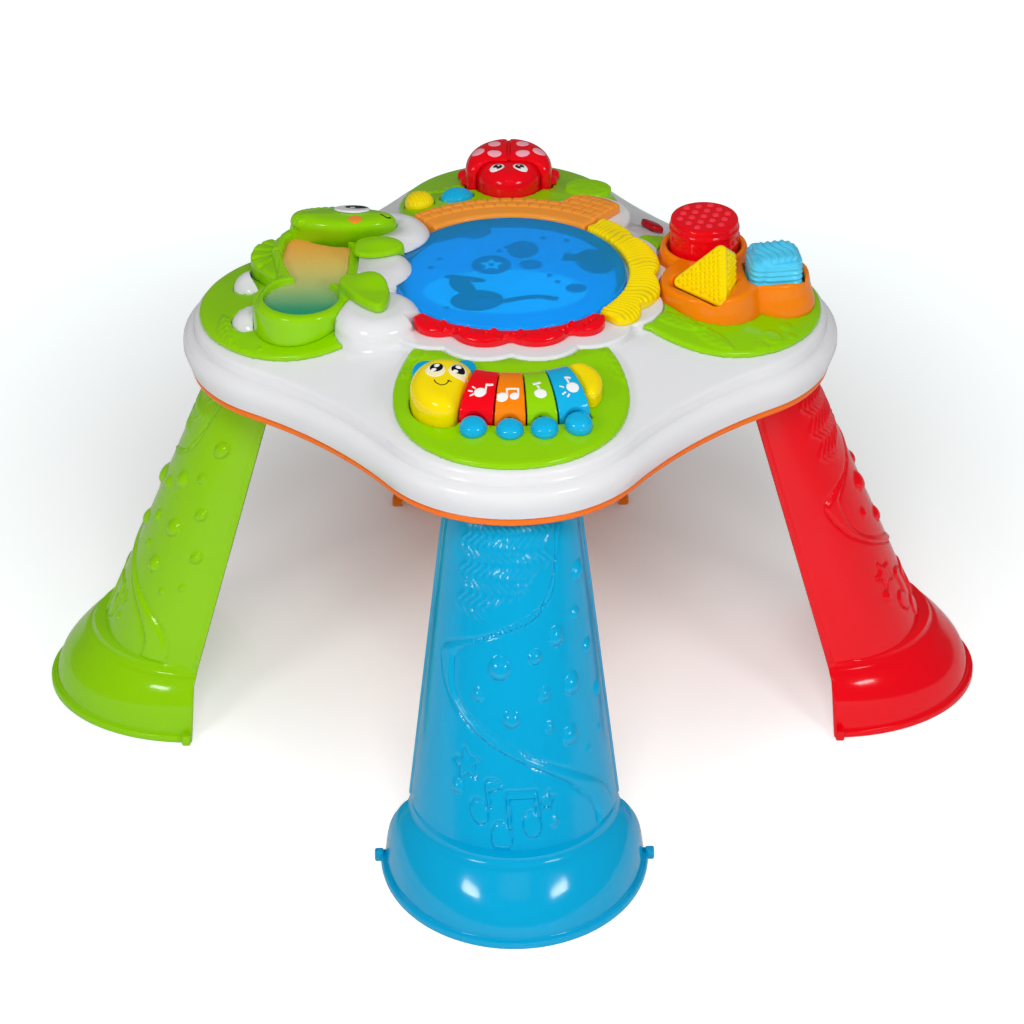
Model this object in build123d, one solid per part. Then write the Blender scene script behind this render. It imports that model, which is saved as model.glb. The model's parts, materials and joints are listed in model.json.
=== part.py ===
from build123d import *
from math import atan2, cos, degrees, pi, radians, sin, sqrt, tan
import os

# Musical activity table for toddlers. A four-lobed top stands on four open half-shell legs. It carries a
# light-up drum pad in the middle and one play station on each lobe: an inchworm piano in front, a lizard
# on the left, a shape tray on the right and a ladybird at the back.
# Millimetres and degrees, +Z up, the front lobe points to -Y. The origin is on the floor under the drum pad.

# ---------------------------------------------------------------- driving dimensions
# Plan of the top: four lobe arcs joined by hollow waist arcs
lobe_offset = 139.0
lobe_radius = 111.0
waist_radius = 360.0

# Heights, each counted from the one before it
leg_height = 286.0
pan_band = 7.0
shell_seam = 0.5
rim_flare = 12.0
rim_height = 24.5
tier_height = 10.0
dome_rise = 22.0
hub_rise = 6.0
petal_height = 8.0

# Top shell
wall = 3.0
rim_tuck = 4.0
rim_round = 8.0
tier_inset = 9.0
tier_round = 4.0
dome_radius = 128.0
hub_valley = 116.0
hub_peak = 124.0
hub_scallops = 14
hub_round = 2.5
hub_ear_x = 62.0
hub_ear_y = 104.0
hub_ear_radius = 33.0

# Base pan
pan_inset = 5.5
pan_floor = 3.0
lip_inset = 8.0
lip_height = 9.0
post_radius = 5.0
post_far = 165.0
post_near = 104.0
post_top = 29.0
screw_radius = 1.5
screw_head_radius = 3.2
screw_head_height = 2.4
screw_length = 18.0
screw_gap = 0.05
screw_seat = 17.0
pilot_depth = 9.0

# Lobe plates
plate_offset = 150.0
plate_radius = 87.0
plate_thick = 5.0
plate_round = 2.5
fit_gap = 0.4

# Drum pad in the hub
lens_radius = 88.4
lens_gap = 0.6
lens_lip = 3.0
lens_lip_height = 2.0
lens_thick = 2.5
lens_edge = 2.0
lens_proud = 7.0
lens_crown = 4.0
drum_travel = 1.5
well_depth = 11.0
well_ledge = 16.0
board_thick = 1.6
sea_drop = 7.0
sea_thick = 1.2

# Tactile petals round the drum pad: start angle, valley angles, end angle, valley and peak radius
petal_inner = 90.4
petal_round = 2.5
red_angles = (-137.0, -116.3, -90.0, -63.5, -44.6)
red_valley = 98.5
red_peak = 108.0
yellow_angles = (-43.2, -28.0, -2.7, 30.6, 49.4)
yellow_valley = 109.5
yellow_peak = 116.5
orange_angles = (50.8, 129.5)
orange_outer = 118.0
orange_bulge_x = 63.0
orange_bulge_y = 101.0
orange_bulge_radius = 24.0

# White cloud humps beside the lizard: x, y, radius, height of the crown over the drum pad's rim
hub_clouds = ((-93.0, 57.0, 33.0, 9.0), (-104.0, 1.0, 32.0, 8.0), (-99.0, -62.0, 33.0, 5.0))
edge_clouds = ((-195.0, 24.0, 17.0, -14.0), (-193.0, -30.0, 18.0, -16.0))
cloud_round = 14.0
cloud_root = 8.0

# Leg: an open half cone in a wide foot, drawn for the front leg
leg_wall = 3.0
leg_plane_foot = 262.1
leg_plane_lean = 0.288
leg_half_width_foot = 84.4
leg_taper = 0.129
leg_rail = 5.0
plug_inset = 4.5
plug_height = 22.0
plug_gap = 0.4
foot_plane = 252.5
foot_shoulder = 42.0
flange_height = 6.0
flange_half_width = 100.5
flange_depth = 116.4
tab_width = 5.0
# Foot sections above the flange: height, half width, depth
foot_sections = ((6.0, 96.5, 111.0), (22.0, 94.0, 104.0), (36.0, 89.0, 94.0), (47.0, 82.0, 84.0))
foot_top = 56.0

# Inchworm piano, drawn round the fan centre on the sloping front plate
fan_x = 3.0
fan_reach = 124.0
station_reach = 168.0
body_half_depth = 26.0
body_height = 15.0
body_skirt = 13.0
key_angles = (-16.3, -6.2, 3.0, 12.0, 21.4)
key_gap = 1.0
key_wall = 2.4
key_arm_width = 5.0
trunnion_radius = 2.2
trunnion_length = 12.4
trunnion_gap = 0.08
clip_width = 2.8
clip_gap = 0.5
trunnion_reach = 86.0
key_press = 2.2
foot_ball_radius = 10.2
foot_ball_height = 8.0
foot_ball_reach = 158.0
head_x = -48.0
head_y = 4.5
head_rx = 26.0
head_ry = 29.5
head_height = 18.0
head_round = 12.0
head_travel = 2.5
key_stem_reach = 141.0
key_stem_radius = 3.5
head_stem_x = -46.0
head_stem_radius = 4.0
key_board_drop = 30.0
key_board_spots = ((-52.0, -205.0), (36.0, -205.0), (-52.0, -112.0), (50.0, -120.0))
ear_radius = 10.5
ear_height = 7.0
ear_spots = ((-62.0, 28.5), (-33.5, 35.5))
tail_x = 45.0
tail_y = 10.0
tail_rx = 21.5
tail_ry = 22.5
tail_height = 12.0
tail_round = 7.0

# Lizard on the left plate
lizard_rise = 10.0
lizard_rim = 8.0
lizard_round = 4.0
panel_drop = 4.5
panel_thick = 2.0
panel_pool_x = -157.0
panel_pool_y = -41.0
panel_pool_radius = 28.5
panel_chest = ((-124.0, -24.0), (-121.5, 35.0), (-158.0, 57.0), (-171.5, 42.0), (-174.5, 21.0), (-165.0, -12.0))
panel_round = 6.0
lizard_head_x = -127.0
lizard_head_y = 60.0
lizard_head_rx = 40.5
lizard_head_ry = 22.5
lizard_head_height = 22.0
lizard_head_round = 11.0
lizard_eye_x = -121.0
lizard_eye_y = 66.0
lizard_eye_rx = 14.0
lizard_eye_ry = 9.0
fin_points = ((-174.0, 56.0), (-192.0, 50.0), (-199.0, 30.0), (-192.0, 10.0), (-176.0, 2.0))
fin_rise = 14.0
crest_radius = 8.0
limb_rise = 13.0
limb_depth = 5.0
limb_round = 2.0
upper_limb = ((-119.0, 18.0), (-97.0, 33.0), (-80.0, 19.0), (-97.0, 6.0))
lower_limb = ((-122.0, -24.0), (-101.0, -24.0), (-90.0, -46.0), (-97.0, -70.0), (-113.0, -58.0))

# Shape tray on the right plate and its three blocks: x, y, outer radius of each cup
cylinder_cup = (149.0, 41.0, 36.0)
prism_cup = (151.5, -14.0, 40.0)
cube_cup = (200.0, -2.0, 29.5)
tray_rise = 8.0
tray_depth = 24.0
tray_round = 4.0
tray_floor = 2.5
pocket_gap = 1.2
cylinder_radius = 26.0
cylinder_height = 46.5
stud_height = 1.2
block_round = 2.5
cube_side = 41.0
cube_turn = 8.0
cube_round = 9.0
prism_side = 56.0
prism_thick = 21.5
prism_round = 5.0
prism_x = 147.7
prism_y = -24.3
prism_rise = 5.4
prism_tilt_x = 46.0
prism_tilt_y = -26.0

# Ladybird and the two round buttons on the back plate
wing_y = 181.0
wing_radius = 34.5
wing_height = 28.0
wing_round = 16.0
wing_front = 168.0
wing_groove = 1.6
nose_y = 173.0
nose_radius = 25.5
nose_height = 16.0
nose_round = 13.0
bug_skirt = 9.0
bug_gap = 0.6
bug_travel = 4.0
bug_leg_radius = 6.5
bug_leg_height = 6.0
bug_leg_spots = ((-38.5, 188.0), (-36.0, 174.0), (38.5, 188.0), (36.0, 174.0))
yellow_button_spot = (-70.5, 143.0)
yellow_button_radius = 11.5
blue_button_spot = (-41.0, 152.5)
blue_button_rx = 14.0
blue_button_ry = 9.5
blue_button_turn = 25.0
button_height = 3.6
button_skirt = 9.0
button_round = 3.2
button_travel = 2.5
back_board_drop = 32.0
back_board_spots = ((-45.0, 190.0), (45.0, 190.0), (-45.0, 128.0), (45.0, 140.0))
back_board_width = 132.0
back_board_depth = 72.0
leaf_spot = (63.0, 166.0)
leaf_rx = 18.5
leaf_ry = 14.0
leaf_height = 3.6

# Power switch on the back right saddle
switch_radius = 153.5
switch_angle = 43.7
switch_length = 24.0
switch_width = 10.0
switch_height = 5.0
switch_stem = 4.0
switch_travel = 8.0
switch_gap = 0.5

# Electrics in the base
cell_radius = 7.1
cell_length = 50.0
cell_count = 3
cell_gap = 0.8
battery_y = 62.0
battery_wall = 2.0
cover_thick = 2.5
speaker_y = -62.0
speaker_radius = 28.0
speaker_height = 16.0
slot_width = 3.0
slot_pitch = 8.0
main_board_width = 110.0
main_board_depth = 50.0
main_board_rise = 36.0
pad_radius = 5.0
pad_gap = 0.5

# ---------------------------------------------------------------- places that follow from them
lobe_reach = lobe_offset + lobe_radius
band_top = leg_height + pan_band
rim_bottom = band_top + shell_seam
rim_bulge = rim_bottom + rim_flare
rim_top = rim_bottom + rim_height
tier_top = rim_top + tier_height
dome_top = tier_top + dome_rise
hub_top = dome_top + hub_rise
petal_top = hub_top + petal_height
lens_rim = hub_top + lens_proud
lens_crown_z = lens_rim + lens_crown
dome_run = lobe_reach - tier_inset - dome_radius
plate_slope = degrees(atan2(dome_rise, dome_run))
lobe_names = {-90: "front", 0: "right", 90: "back", 180: "left"}


def polar(radius, angle):
    """Point in plan at a radius and an angle from +X."""
    return Vector(radius * cos(radians(angle)), radius * sin(radians(angle)))


def plate_height(reach):
    """Height of a plate's surface at a distance from the axis, along the middle of a lobe."""
    return tier_top + plate_thick + dome_rise * (lobe_reach - tier_inset - reach) / dome_run


def lifted(face, z):
    return face.moved(Location((0, 0, z)))


def column(face, bottom, top):
    """Straight solid over a plan outline between two heights."""
    return extrude(lifted(face, bottom), amount=top - bottom, dir=(0, 0, 1))


def disc(x, y, radius):
    return Pos(x, y) * Circle(radius)


def oval(x, y, rx, ry, turn=0.0):
    return Pos(x, y) * Rot(0, 0, turn) * Ellipse(rx, ry)


def pillow(face, bottom, top, rounding):
    """Column with a fully rounded upper edge."""
    solid = column(face, bottom, top)
    return fillet(solid.edges().group_by(Axis.Z)[-1], rounding)


def smooth_patch(points, grow=0.0):
    """Closed smooth outline through a few points, each moved out from their middle."""
    middle = sum([Vector(*point) for point in points], Vector()) / len(points)
    moved = [Vector(*point) + (Vector(*point) - middle).normalized() * grow for point in points]
    return make_face(Spline(moved, periodic=True))


# ---------------------------------------------------------------- plan outlines
def waist_centre():
    """Distance from the axis to a waist arc's centre, which makes it tangent to two lobe arcs."""
    half = lobe_offset / sqrt(2)
    return half + sqrt((waist_radius + lobe_radius) ** 2 - half**2)


def lobe_swing():
    """Half the angle of a lobe's arc, as seen from its own centre."""
    reach = waist_centre() * sin(pi / 4)
    return degrees(atan2(reach, reach - lobe_offset))


def outline(inset, z):
    """Four-lobed outline, set in from the widest line of the rim."""
    edges = []
    swing = lobe_swing()
    radius = lobe_radius - inset
    for angle in range(0, 360, 90):
        centre = polar(lobe_offset, angle)
        start = centre + polar(radius, angle - swing)
        end = centre + polar(radius, angle + swing)
        following = polar(lobe_offset, angle + 90) + polar(radius, angle + 90 - swing)
        waist = polar(waist_centre() - waist_radius - inset, angle + 45)
        edges.append(Edge.make_three_point_arc(start, centre + polar(radius, angle), end))
        edges.append(Edge.make_three_point_arc(end, waist, following))
    return lifted(Face(Wire(edges)), z)


def dome_circle(z):
    """Inner circle of the dome, split where the outline changes from lobe to waist."""
    edges = []
    corner = polar(lobe_offset, 0) + polar(lobe_radius, lobe_swing())
    split = degrees(atan2(corner.Y, corner.X))
    for angle in range(0, 360, 90):
        for start, end in ((-split, split), (split, 90 - split)):
            stations = [polar(dome_radius, angle + turn) for turn in (start, (start + end) / 2, end)]
            edges.append(Edge.make_three_point_arc(*stations))
    return lifted(Face(Wire(edges)), z)


def scalloped(inner, valley, peak, angles):
    """Sector of a ring whose outer edge is a row of scallops between the given angles."""
    edges = [Edge.make_line(polar(inner, angles[0]), polar(valley, angles[0]))]
    for start, end in zip(angles, angles[1:]):
        crown = polar(peak, (start + end) / 2)
        edges.append(Edge.make_three_point_arc(polar(valley, start), crown, polar(valley, end)))
    edges.append(Edge.make_line(polar(valley, angles[-1]), polar(inner, angles[-1])))
    middle = polar(inner, (angles[0] + angles[-1]) / 2)
    edges.append(Edge.make_three_point_arc(polar(inner, angles[-1]), middle, polar(inner, angles[0])))
    return Face(Wire(edges))


def hub_outline(grow):
    """Scalloped outline of the raised hub, with an ear behind the orange petal."""
    edges = []
    step = 360 / hub_scallops
    for index in range(hub_scallops):
        start = -90 + index * step
        points = [
            polar(hub_valley + grow, start),
            polar(hub_peak + grow, start + step / 2),
            polar(hub_valley + grow, start + step),
        ]
        edges.append(Edge.make_three_point_arc(*points))
    return Face(Wire(edges)) + disc(hub_ear_x, hub_ear_y, hub_ear_radius + grow)


# ---------------------------------------------------------------- top shell
def dome_form(raised):
    """Solid under the sloping top, raised by a thickness."""
    shelf = extrude(outline(tier_inset, rim_bulge), amount=tier_top + raised - rim_bulge)
    cone = loft([outline(tier_inset, tier_top + raised), dome_circle(dome_top + raised)], ruled=True)
    return shelf + cone


def shell_form(inset):
    """Solid form of the whole top, set in and dropped by a thickness."""
    flare = loft([outline(rim_tuck + inset, rim_bottom), outline(inset, rim_bulge)], ruled=True)
    band = extrude(outline(inset, rim_bulge), amount=rim_top - inset - rim_bulge)
    band = fillet(band.edges().group_by(Axis.Z)[-1], rim_round - inset)
    shelf_z = tier_top - inset
    shelf = extrude(outline(tier_inset + inset, rim_bulge), amount=shelf_z - rim_bulge)
    cone = loft([outline(tier_inset + inset, shelf_z), dome_circle(dome_top - inset)], ruled=True)
    upper = shelf + cone
    if not inset:
        crease = [edge for edge in upper.edges() if abs(edge.center().Z - shelf_z) < 0.01]
        upper = fillet(crease, tier_round)
    return flare + band + upper


def cloud(x, y, radius, crown, grow):
    """One white hump."""
    return pillow(disc(x, y, radius + grow), tier_top - cloud_root, lens_rim + crown + grow, cloud_round)


def clouds(grow):
    """White humps on both sides of the lizard, cut back round it and round the petals."""
    around = column(lizard_plan(fit_gap - grow), tier_top - 20, petal_top + 60)
    for angles, reach in ((red_angles, red_peak), (orange_angles, orange_outer)):
        petal_plan = scalloped(petal_inner - 4, reach + fit_gap - grow, reach + fit_gap - grow, wider(angles))
        around += column(petal_plan, hub_top - grow, petal_top + 20)
    humps = cloud(*hub_clouds[0], grow)
    for spot in hub_clouds[1:] + edge_clouds:
        humps += cloud(*spot, grow)
    return [solid for solid in (humps - around).solids() if solid.volume > 100]


def wider(angles):
    """Angles of a petal with the seam at both of its ends added."""
    seam = degrees(fit_gap / petal_inner)
    return (angles[0] - seam,) + tuple(angles[1:-1]) + (angles[-1] + seam,)


def key_slot(gap):
    """Opening for the four keys in the front station's own frame."""
    low = key_angles[0] - degrees(gap / fan_reach)
    high = key_angles[-1] + degrees(gap / fan_reach)
    inner = fan_reach - body_half_depth - gap
    outer = fan_reach + body_half_depth + gap
    return scalloped_free(inner, outer, low, high)


def scalloped_free(inner, outer, low, high):
    """Plain ring sector about the fan centre, its angles counted from straight ahead."""
    centre = Vector(fan_x, fan_reach)
    middle = (low + high) / 2

    def at(radius, angle):
        return centre + Vector(radius * sin(radians(angle)), -radius * cos(radians(angle)))

    edges = [
        Edge.make_line(at(inner, low), at(outer, low)),
        Edge.make_three_point_arc(at(outer, low), at(outer, middle), at(outer, high)),
        Edge.make_line(at(outer, high), at(inner, high)),
        Edge.make_three_point_arc(at(inner, high), at(inner, middle), at(inner, low)),
    ]
    return Face(Wire(edges))


def front_station():
    """Frame of the sloping front plate: its origin on the plate, its y axis up the slope."""
    return Location((0, -station_reach, plate_height(station_reach)), (plate_slope, 0, 0))


def front_cutter(gap):
    """What the keys and the inchworm's head need open through plate and shell."""
    slot = extrude(lifted(key_slot(gap), -20), amount=40)
    head = extrude(lifted(head_outline(gap / 2), -20), amount=40)
    return front_station() * (slot + head)


def tray_outline(grow):
    plan = disc(cylinder_cup[0], cylinder_cup[1], cylinder_cup[2] + grow)
    for cup in (prism_cup, cube_cup):
        plan += disc(cup[0], cup[1], cup[2] + grow)
    return plan


def wing_plan(grow):
    """Round plan of the wing cases, cut straight where the head begins."""
    front = wing_front - grow
    back = wing_y + 2 * wing_radius
    room = Pos(0, (front + back) / 2) * Rectangle(4 * wing_radius, back - front)
    return disc(0, wing_y, wing_radius + grow) & room


def bug_outline(grow):
    return wing_plan(grow) + disc(0, nose_y, nose_radius + grow)


def yellow_outline(grow):
    return disc(*yellow_button_spot, yellow_button_radius + grow)


def blue_outline(grow):
    return oval(*blue_button_spot, blue_button_rx + grow, blue_button_ry + grow, blue_button_turn)


def back_cutter():
    """What the ladybird and the two buttons need open through plate and shell."""
    plan = bug_outline(bug_gap) + yellow_outline(bug_gap) + blue_outline(bug_gap)
    return column(plan, tier_top - 20, petal_top)


def switch_frame():
    """Frame of the power switch: on the saddle, its x axis along the travel."""
    spot = polar(switch_radius, switch_angle)
    waist_edge = waist_centre() - waist_radius - tier_inset
    share = (waist_edge - switch_radius) / (waist_edge - dome_radius)
    slope = degrees(atan2(dome_rise, waist_edge - dome_radius))
    return Pos(spot.X, spot.Y, tier_top + dome_rise * share) * Rot(0, 0, switch_angle + 90) * Rot(slope, 0, 0)


def switch_slot():
    """Slot for the switch's stem through the saddle."""
    length = switch_travel + switch_stem + 2 * switch_gap
    slot = Pos(switch_travel / 2, 0) * SlotOverall(length + switch_stem, switch_stem + 2 * switch_gap)
    return switch_frame() * extrude(lifted(slot, -20), amount=40)


def case_posts():
    """Plan places of the posts that hold the two case halves together."""
    spots = []
    for angle in range(45, 360, 90):
        for radius in (post_far, post_near):
            spots.append(polar(radius, angle))
    return spots


def drum_well():
    """Room for the drum pad: a bore, and a wider one under the hub's lip."""
    bore = Pos(0, 0, hub_top) * Cylinder(lens_radius + lens_gap, 2 * wall)
    under = Cylinder(lens_radius + lens_lip + lens_gap, well_depth - wall)
    under = Pos(0, 0, hub_top - (well_depth + wall) / 2) * under
    return bore + under


def crown_arc(radius, rim, crown):
    """Arc of a shallow spherical crown, from the axis out to its rim."""
    sphere = (radius**2 + crown**2) / (2 * crown)
    middle = rim + crown - sphere + sqrt(sphere**2 - (radius / 2) ** 2)
    return ThreePointArc((0, rim + crown), (radius / 2, middle), (radius, rim))


def lens_form(grow):
    """Crowned form of the lens above the hub, with a clearance."""
    outer = lens_radius + grow
    rim = lens_rim + grow
    sides = Polyline((outer, rim), (outer, hub_top - wall), (0, hub_top - wall), (0, rim + lens_crown))
    return revolve(Plane.XZ * make_face([crown_arc(outer, rim, lens_crown), sides]), Axis.Z)


def well_cup():
    """Wall and ledge under the hub that carry the light board."""
    outer = lens_radius + lens_lip + lens_gap + wall
    depth = well_depth + wall / 2
    middle = Pos(0, 0, hub_top - wall / 2 - depth / 2)
    return middle * Cylinder(outer, depth) - middle * Cylinder(lens_radius - well_ledge, depth + 2)


def top_shell():
    form = shell_form(0)
    hub = column(hub_outline(0), dome_top - 12, hub_top)
    hub = fillet(hub.edges().group_by(Axis.Z)[-1], hub_round)
    form += hub
    for hump in clouds(0):
        form += hump
    cavity = shell_form(wall) + extrude(outline(rim_tuck + wall, rim_bottom), amount=-1)
    ring = Cylinder(hub_valley - 2 * wall, hub_rise + wall) - Cylinder(lens_radius + lens_lip + 2 * wall, 40)
    cavity += Pos(0, 0, dome_top - wall + hub_rise / 2 - 1) * ring
    for spot in case_posts():
        cavity -= column(disc(spot.X, spot.Y, post_radius), leg_height + post_top, hub_top)
    for x, y in key_board_spots:
        cavity -= column(disc(x, y, post_radius - 1), key_board_z(), hub_top)
    for x, y in back_board_spots:
        cavity -= column(disc(x, y, post_radius - 1), back_board_z(), hub_top)
    shell = form - cavity + well_cup()
    shell -= drum_well()
    shell -= front_cutter(key_gap)
    shell -= lens_form(lens_gap)
    shell -= column(tray_outline(fit_gap), tier_top - 40, petal_top)
    shell -= back_cutter()
    shell -= switch_slot()
    for spot in case_posts():
        low = leg_height + post_top
        shell -= column(disc(spot.X, spot.Y, screw_radius + screw_gap), low - 1, low + pilot_depth)
    return shell


# ---------------------------------------------------------------- base shell
def half_oval(plane, half_width, depth, z):
    """Half ellipse of the front leg: its flat side at a distance in front of the axis."""
    spot = Plane((0, -plane, z))
    arc = Edge.make_ellipse(half_width, depth, spot, 180, 360)
    return Face(Wire([arc, Edge.make_line(arc @ 1, arc @ 0)]))


def plug_outline(grow):
    """Outline of the plug on a leg's top, at the pan's floor."""
    plane, half_width = leg_section(leg_height)
    depth = half_width - 2 * plug_inset + grow
    return half_oval(plane + plug_inset - grow, half_width - plug_inset + grow, depth + grow, 0)


def leg_section(z):
    """Distance of a leg's open plane from the axis and its half width, at a height."""
    return leg_plane_foot - leg_plane_lean * z, leg_half_width_foot - leg_taper * z


def turned(shape, angle):
    """Copy of a front piece turned to another lobe."""
    return Rot(0, 0, angle + 90) * shape


def battery_bay():
    """Plan of the battery box."""
    width = cell_count * (2 * cell_radius + cell_gap) + cell_gap
    return width + 2 * battery_wall, cell_length + 2 * cell_gap + 2 * battery_wall


def speaker_grille():
    """Row of slots in the pan under the speaker."""
    slots = []
    count = int(speaker_radius * 2 / slot_pitch) - 1
    for index in range(count):
        offset = (index - (count - 1) / 2) * slot_pitch
        length = 2 * sqrt((speaker_radius - 2 * slot_width) ** 2 - offset**2)
        slot = Pos(0, speaker_y + offset) * SlotOverall(length, slot_width)
        slots.append(column(slot, leg_height - 1, leg_height + pan_floor + 1))
    return slots


def base_shell():
    pan = extrude(outline(pan_inset, leg_height), amount=pan_band)
    pan = fillet(pan.edges().group_by(Axis.Z)[0], 2.5)
    pan += extrude(outline(lip_inset, leg_height + pan_floor), amount=pan_band - pan_floor + lip_height)
    floor_z = leg_height + pan_floor
    pan -= extrude(outline(lip_inset + wall, floor_z), amount=pan_band + lip_height)
    for spot in case_posts():
        pan += column(disc(spot.X, spot.Y, post_radius), floor_z, leg_height + post_top)
    for angle in lobe_names:
        collar = column(plug_outline(plug_gap + wall), floor_z, leg_height + plug_height / 2)
        pan += turned(collar, angle)
    for angle in lobe_names:
        pan -= turned(column(plug_outline(plug_gap), leg_height - 1, floor_z + plug_height), angle)
    for x, y in main_board_spots():
        pan += column(disc(x, y, post_radius - 1), floor_z, leg_height + main_board_rise)
    ring = Cylinder(speaker_radius + wall, 5) - Cylinder(speaker_radius + fit_gap / 2, 5)
    pan += Pos(0, speaker_y, floor_z + 2.5) * ring
    for slot in speaker_grille():
        pan -= slot
    width, depth = battery_bay()
    bay = Pos(0, battery_y) * Rectangle(width + 2 * fit_gap, depth + 2 * fit_gap)
    pan -= column(bay, leg_height - 1, floor_z + 1)
    for spot in case_posts():
        pan -= column(disc(spot.X, spot.Y, screw_radius + screw_gap), leg_height - 1, leg_height + post_top + 1)
        pan -= column(disc(spot.X, spot.Y, screw_head_radius + 0.3), leg_height - 1, leg_height + screw_seat)
    return pan


def main_board_spots():
    x = main_board_width / 2 - post_radius
    y = main_board_depth / 2 - post_radius
    return ((-x, -y), (x, -y), (-x, y), (x, y))


def screw(x, y, seat_z, length):
    """Pan-head screw that points up, its head under the seat."""
    head = column(disc(x, y, screw_head_radius), seat_z - screw_head_height, seat_z)
    shank = column(disc(x, y, screw_radius), seat_z, seat_z + length)
    recess = Pos(x, y) * (Rectangle(3.6, 0.9) + Rectangle(0.9, 3.6))
    cross = column(recess, seat_z - screw_head_height - 1, seat_z - screw_head_height + 1.2)
    return head + shank - cross


def case_screws():
    seat = leg_height + screw_seat
    return Compound(children=[screw(spot.X, spot.Y, seat, screw_length) for spot in case_posts()])


# ---------------------------------------------------------------- legs
def oval_section(plane, half_width, depth, z):
    """Full ellipse about a leg's open plane."""
    return Pos(0, -plane, z) * Ellipse(half_width, depth)


def leg_bulk(inset):
    """Leg and foot as one closed form, set in by a thickness."""
    top_z = leg_height - inset
    cone = []
    for z in (foot_shoulder, top_z):
        plane, half_width = leg_section(z)
        cone.append(oval_section(plane, half_width - inset, half_width - inset, z))
    foot = []
    for z, half_width, depth in foot_sections:
        foot.append(oval_section(foot_plane, half_width - inset, depth - inset, z))
    plane, half_width = leg_section(foot_top)
    foot.append(oval_section(plane, half_width - inset, half_width - inset, foot_top))
    return loft(cone, ruled=True) + loft(foot)


def leg_half():
    """Everything outside a leg's open plane, seen from the side."""
    plane_top, _ = leg_section(leg_height)
    plane_low, _ = leg_section(foot_shoulder)
    corners = [
        (-foot_plane, 0),
        (-plane_low, foot_shoulder),
        (-plane_top, leg_height),
        (-lobe_reach * 2, leg_height),
        (-lobe_reach * 2, 0),
    ]
    side = make_face(Polyline([Vector(0, y, z) for y, z in corners], close=True))
    return extrude(side, amount=lobe_reach, both=True, dir=(1, 0, 0))


def leg_rails():
    """Thin slab along the open plane, where the shell's edges turn inwards."""
    half = leg_half()
    return half - Pos(0, -leg_wall, 0) * half


def leg(angle):
    half = leg_half()
    outer = leg_bulk(0)
    flange = extrude(oval_section(foot_plane, flange_half_width, flange_depth, 0), amount=flange_height)
    first = foot_sections[0]
    bore = oval_section(foot_plane, first[1] - leg_wall, first[2] - leg_wall, -1)
    bore = extrude(bore, amount=first[0] + 1)
    shell = (outer + flange - leg_bulk(leg_wall) - bore) & half
    rails = (outer - leg_bulk(leg_wall + leg_rail)) & leg_rails()
    shell += rails
    tab_x = flange_half_width + tab_width / 2 - 1
    for side in (-1, 1):
        tab = Pos(side * tab_x, -foot_plane - 3, flange_height / 2) * Box(tab_width, 6, flange_height)
        shell += tab
    plug = column(plug_outline(0), leg_height - leg_wall, leg_height + plug_height)
    core = column(plug_outline(-leg_wall), leg_height, leg_height + plug_height + 1)
    shell += plug - core
    return turned(shell, angle)


# ---------------------------------------------------------------- lobe plates
def plate(angle):
    centre = polar(plate_offset, angle)
    round_plan = column(disc(centre.X, centre.Y, plate_radius), tier_top - 20, petal_top)
    solid = (round_plan & dome_form(plate_thick)) - dome_form(0)
    edge = [item for item in solid.edges() if on_circle(item, centre, plate_radius, plate_thick)]
    solid = fillet(edge, plate_round)
    if lobe_names[angle] == "front":
        solid -= front_cutter(key_gap)
    if lobe_names[angle] == "right":
        solid -= column(tray_outline(fit_gap), tier_top - 20, petal_top)
    if lobe_names[angle] == "back":
        solid -= back_cutter()
        solid += seated(pillow(oval(*leaf_spot, leaf_rx, leaf_ry, -15), tier_top, leaf_crown(), 3.0))
    solid -= column(hub_outline(fit_gap), tier_top - 20, petal_top + 10)
    if lobe_names[angle] == "left":
        for hump in clouds(fit_gap / 2):
            solid -= hump
    return biggest(solid)


def leaf_crown():
    return plate_height(leaf_spot[1]) + leaf_height


def on_circle(edge, centre, radius, raised):
    """True for an upper edge of a plate that lies on its own round outline."""
    point = edge @ 0.5
    reach = sqrt((point.X - centre.X) ** 2 + (point.Y - centre.Y) ** 2)
    rise = point.Z - tier_top
    lobe_share = (lobe_reach - tier_inset - sqrt(point.X**2 + point.Y**2)) / dome_run
    return abs(reach - radius) < 0.2 and rise > dome_rise * lobe_share + raised / 2


def seated(solid):
    """Piece cut to sit on the sloping plate."""
    return solid - dome_form(plate_thick)


def biggest(shape):
    return max(shape.solids(), key=lambda solid: solid.volume)


# ---------------------------------------------------------------- drum pad
def drum_lens():
    """Blue lens: a shallow crown on a skirt, with a lip that the hub holds down."""
    outer = lens_radius
    inner = outer - lens_thick
    flat = outer - lens_edge
    lip_top = hub_top - wall - fit_gap
    lip_low = lip_top - lens_lip_height
    shoulder = ThreePointArc(
        (flat, lens_rim), (outer - 0.3 * lens_edge, lens_rim - 0.3 * lens_edge), (outer, lens_rim - lens_edge)
    )
    steps = Polyline(
        (outer, lens_rim - lens_edge),
        (outer, lip_top),
        (outer + lens_lip, lip_top),
        (outer + lens_lip, lip_low),
        (inner, lip_low),
        (inner, lens_rim - lens_thick),
    )
    crown = crown_arc(flat, lens_rim, lens_crown)
    under = crown_arc(inner, lens_rim - lens_thick, lens_crown)
    axis_line = Line((0, lens_crown_z - lens_thick), (0, lens_crown_z))
    return revolve(Plane.XZ * make_face([crown, shoulder, steps, under, axis_line]), Axis.Z)


def sea_disc():
    """Printed disc glued inside the lens."""
    low = lens_rim - lens_thick - sea_drop
    return column(Circle(lens_radius - lens_thick), low, low + sea_thick)


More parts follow.
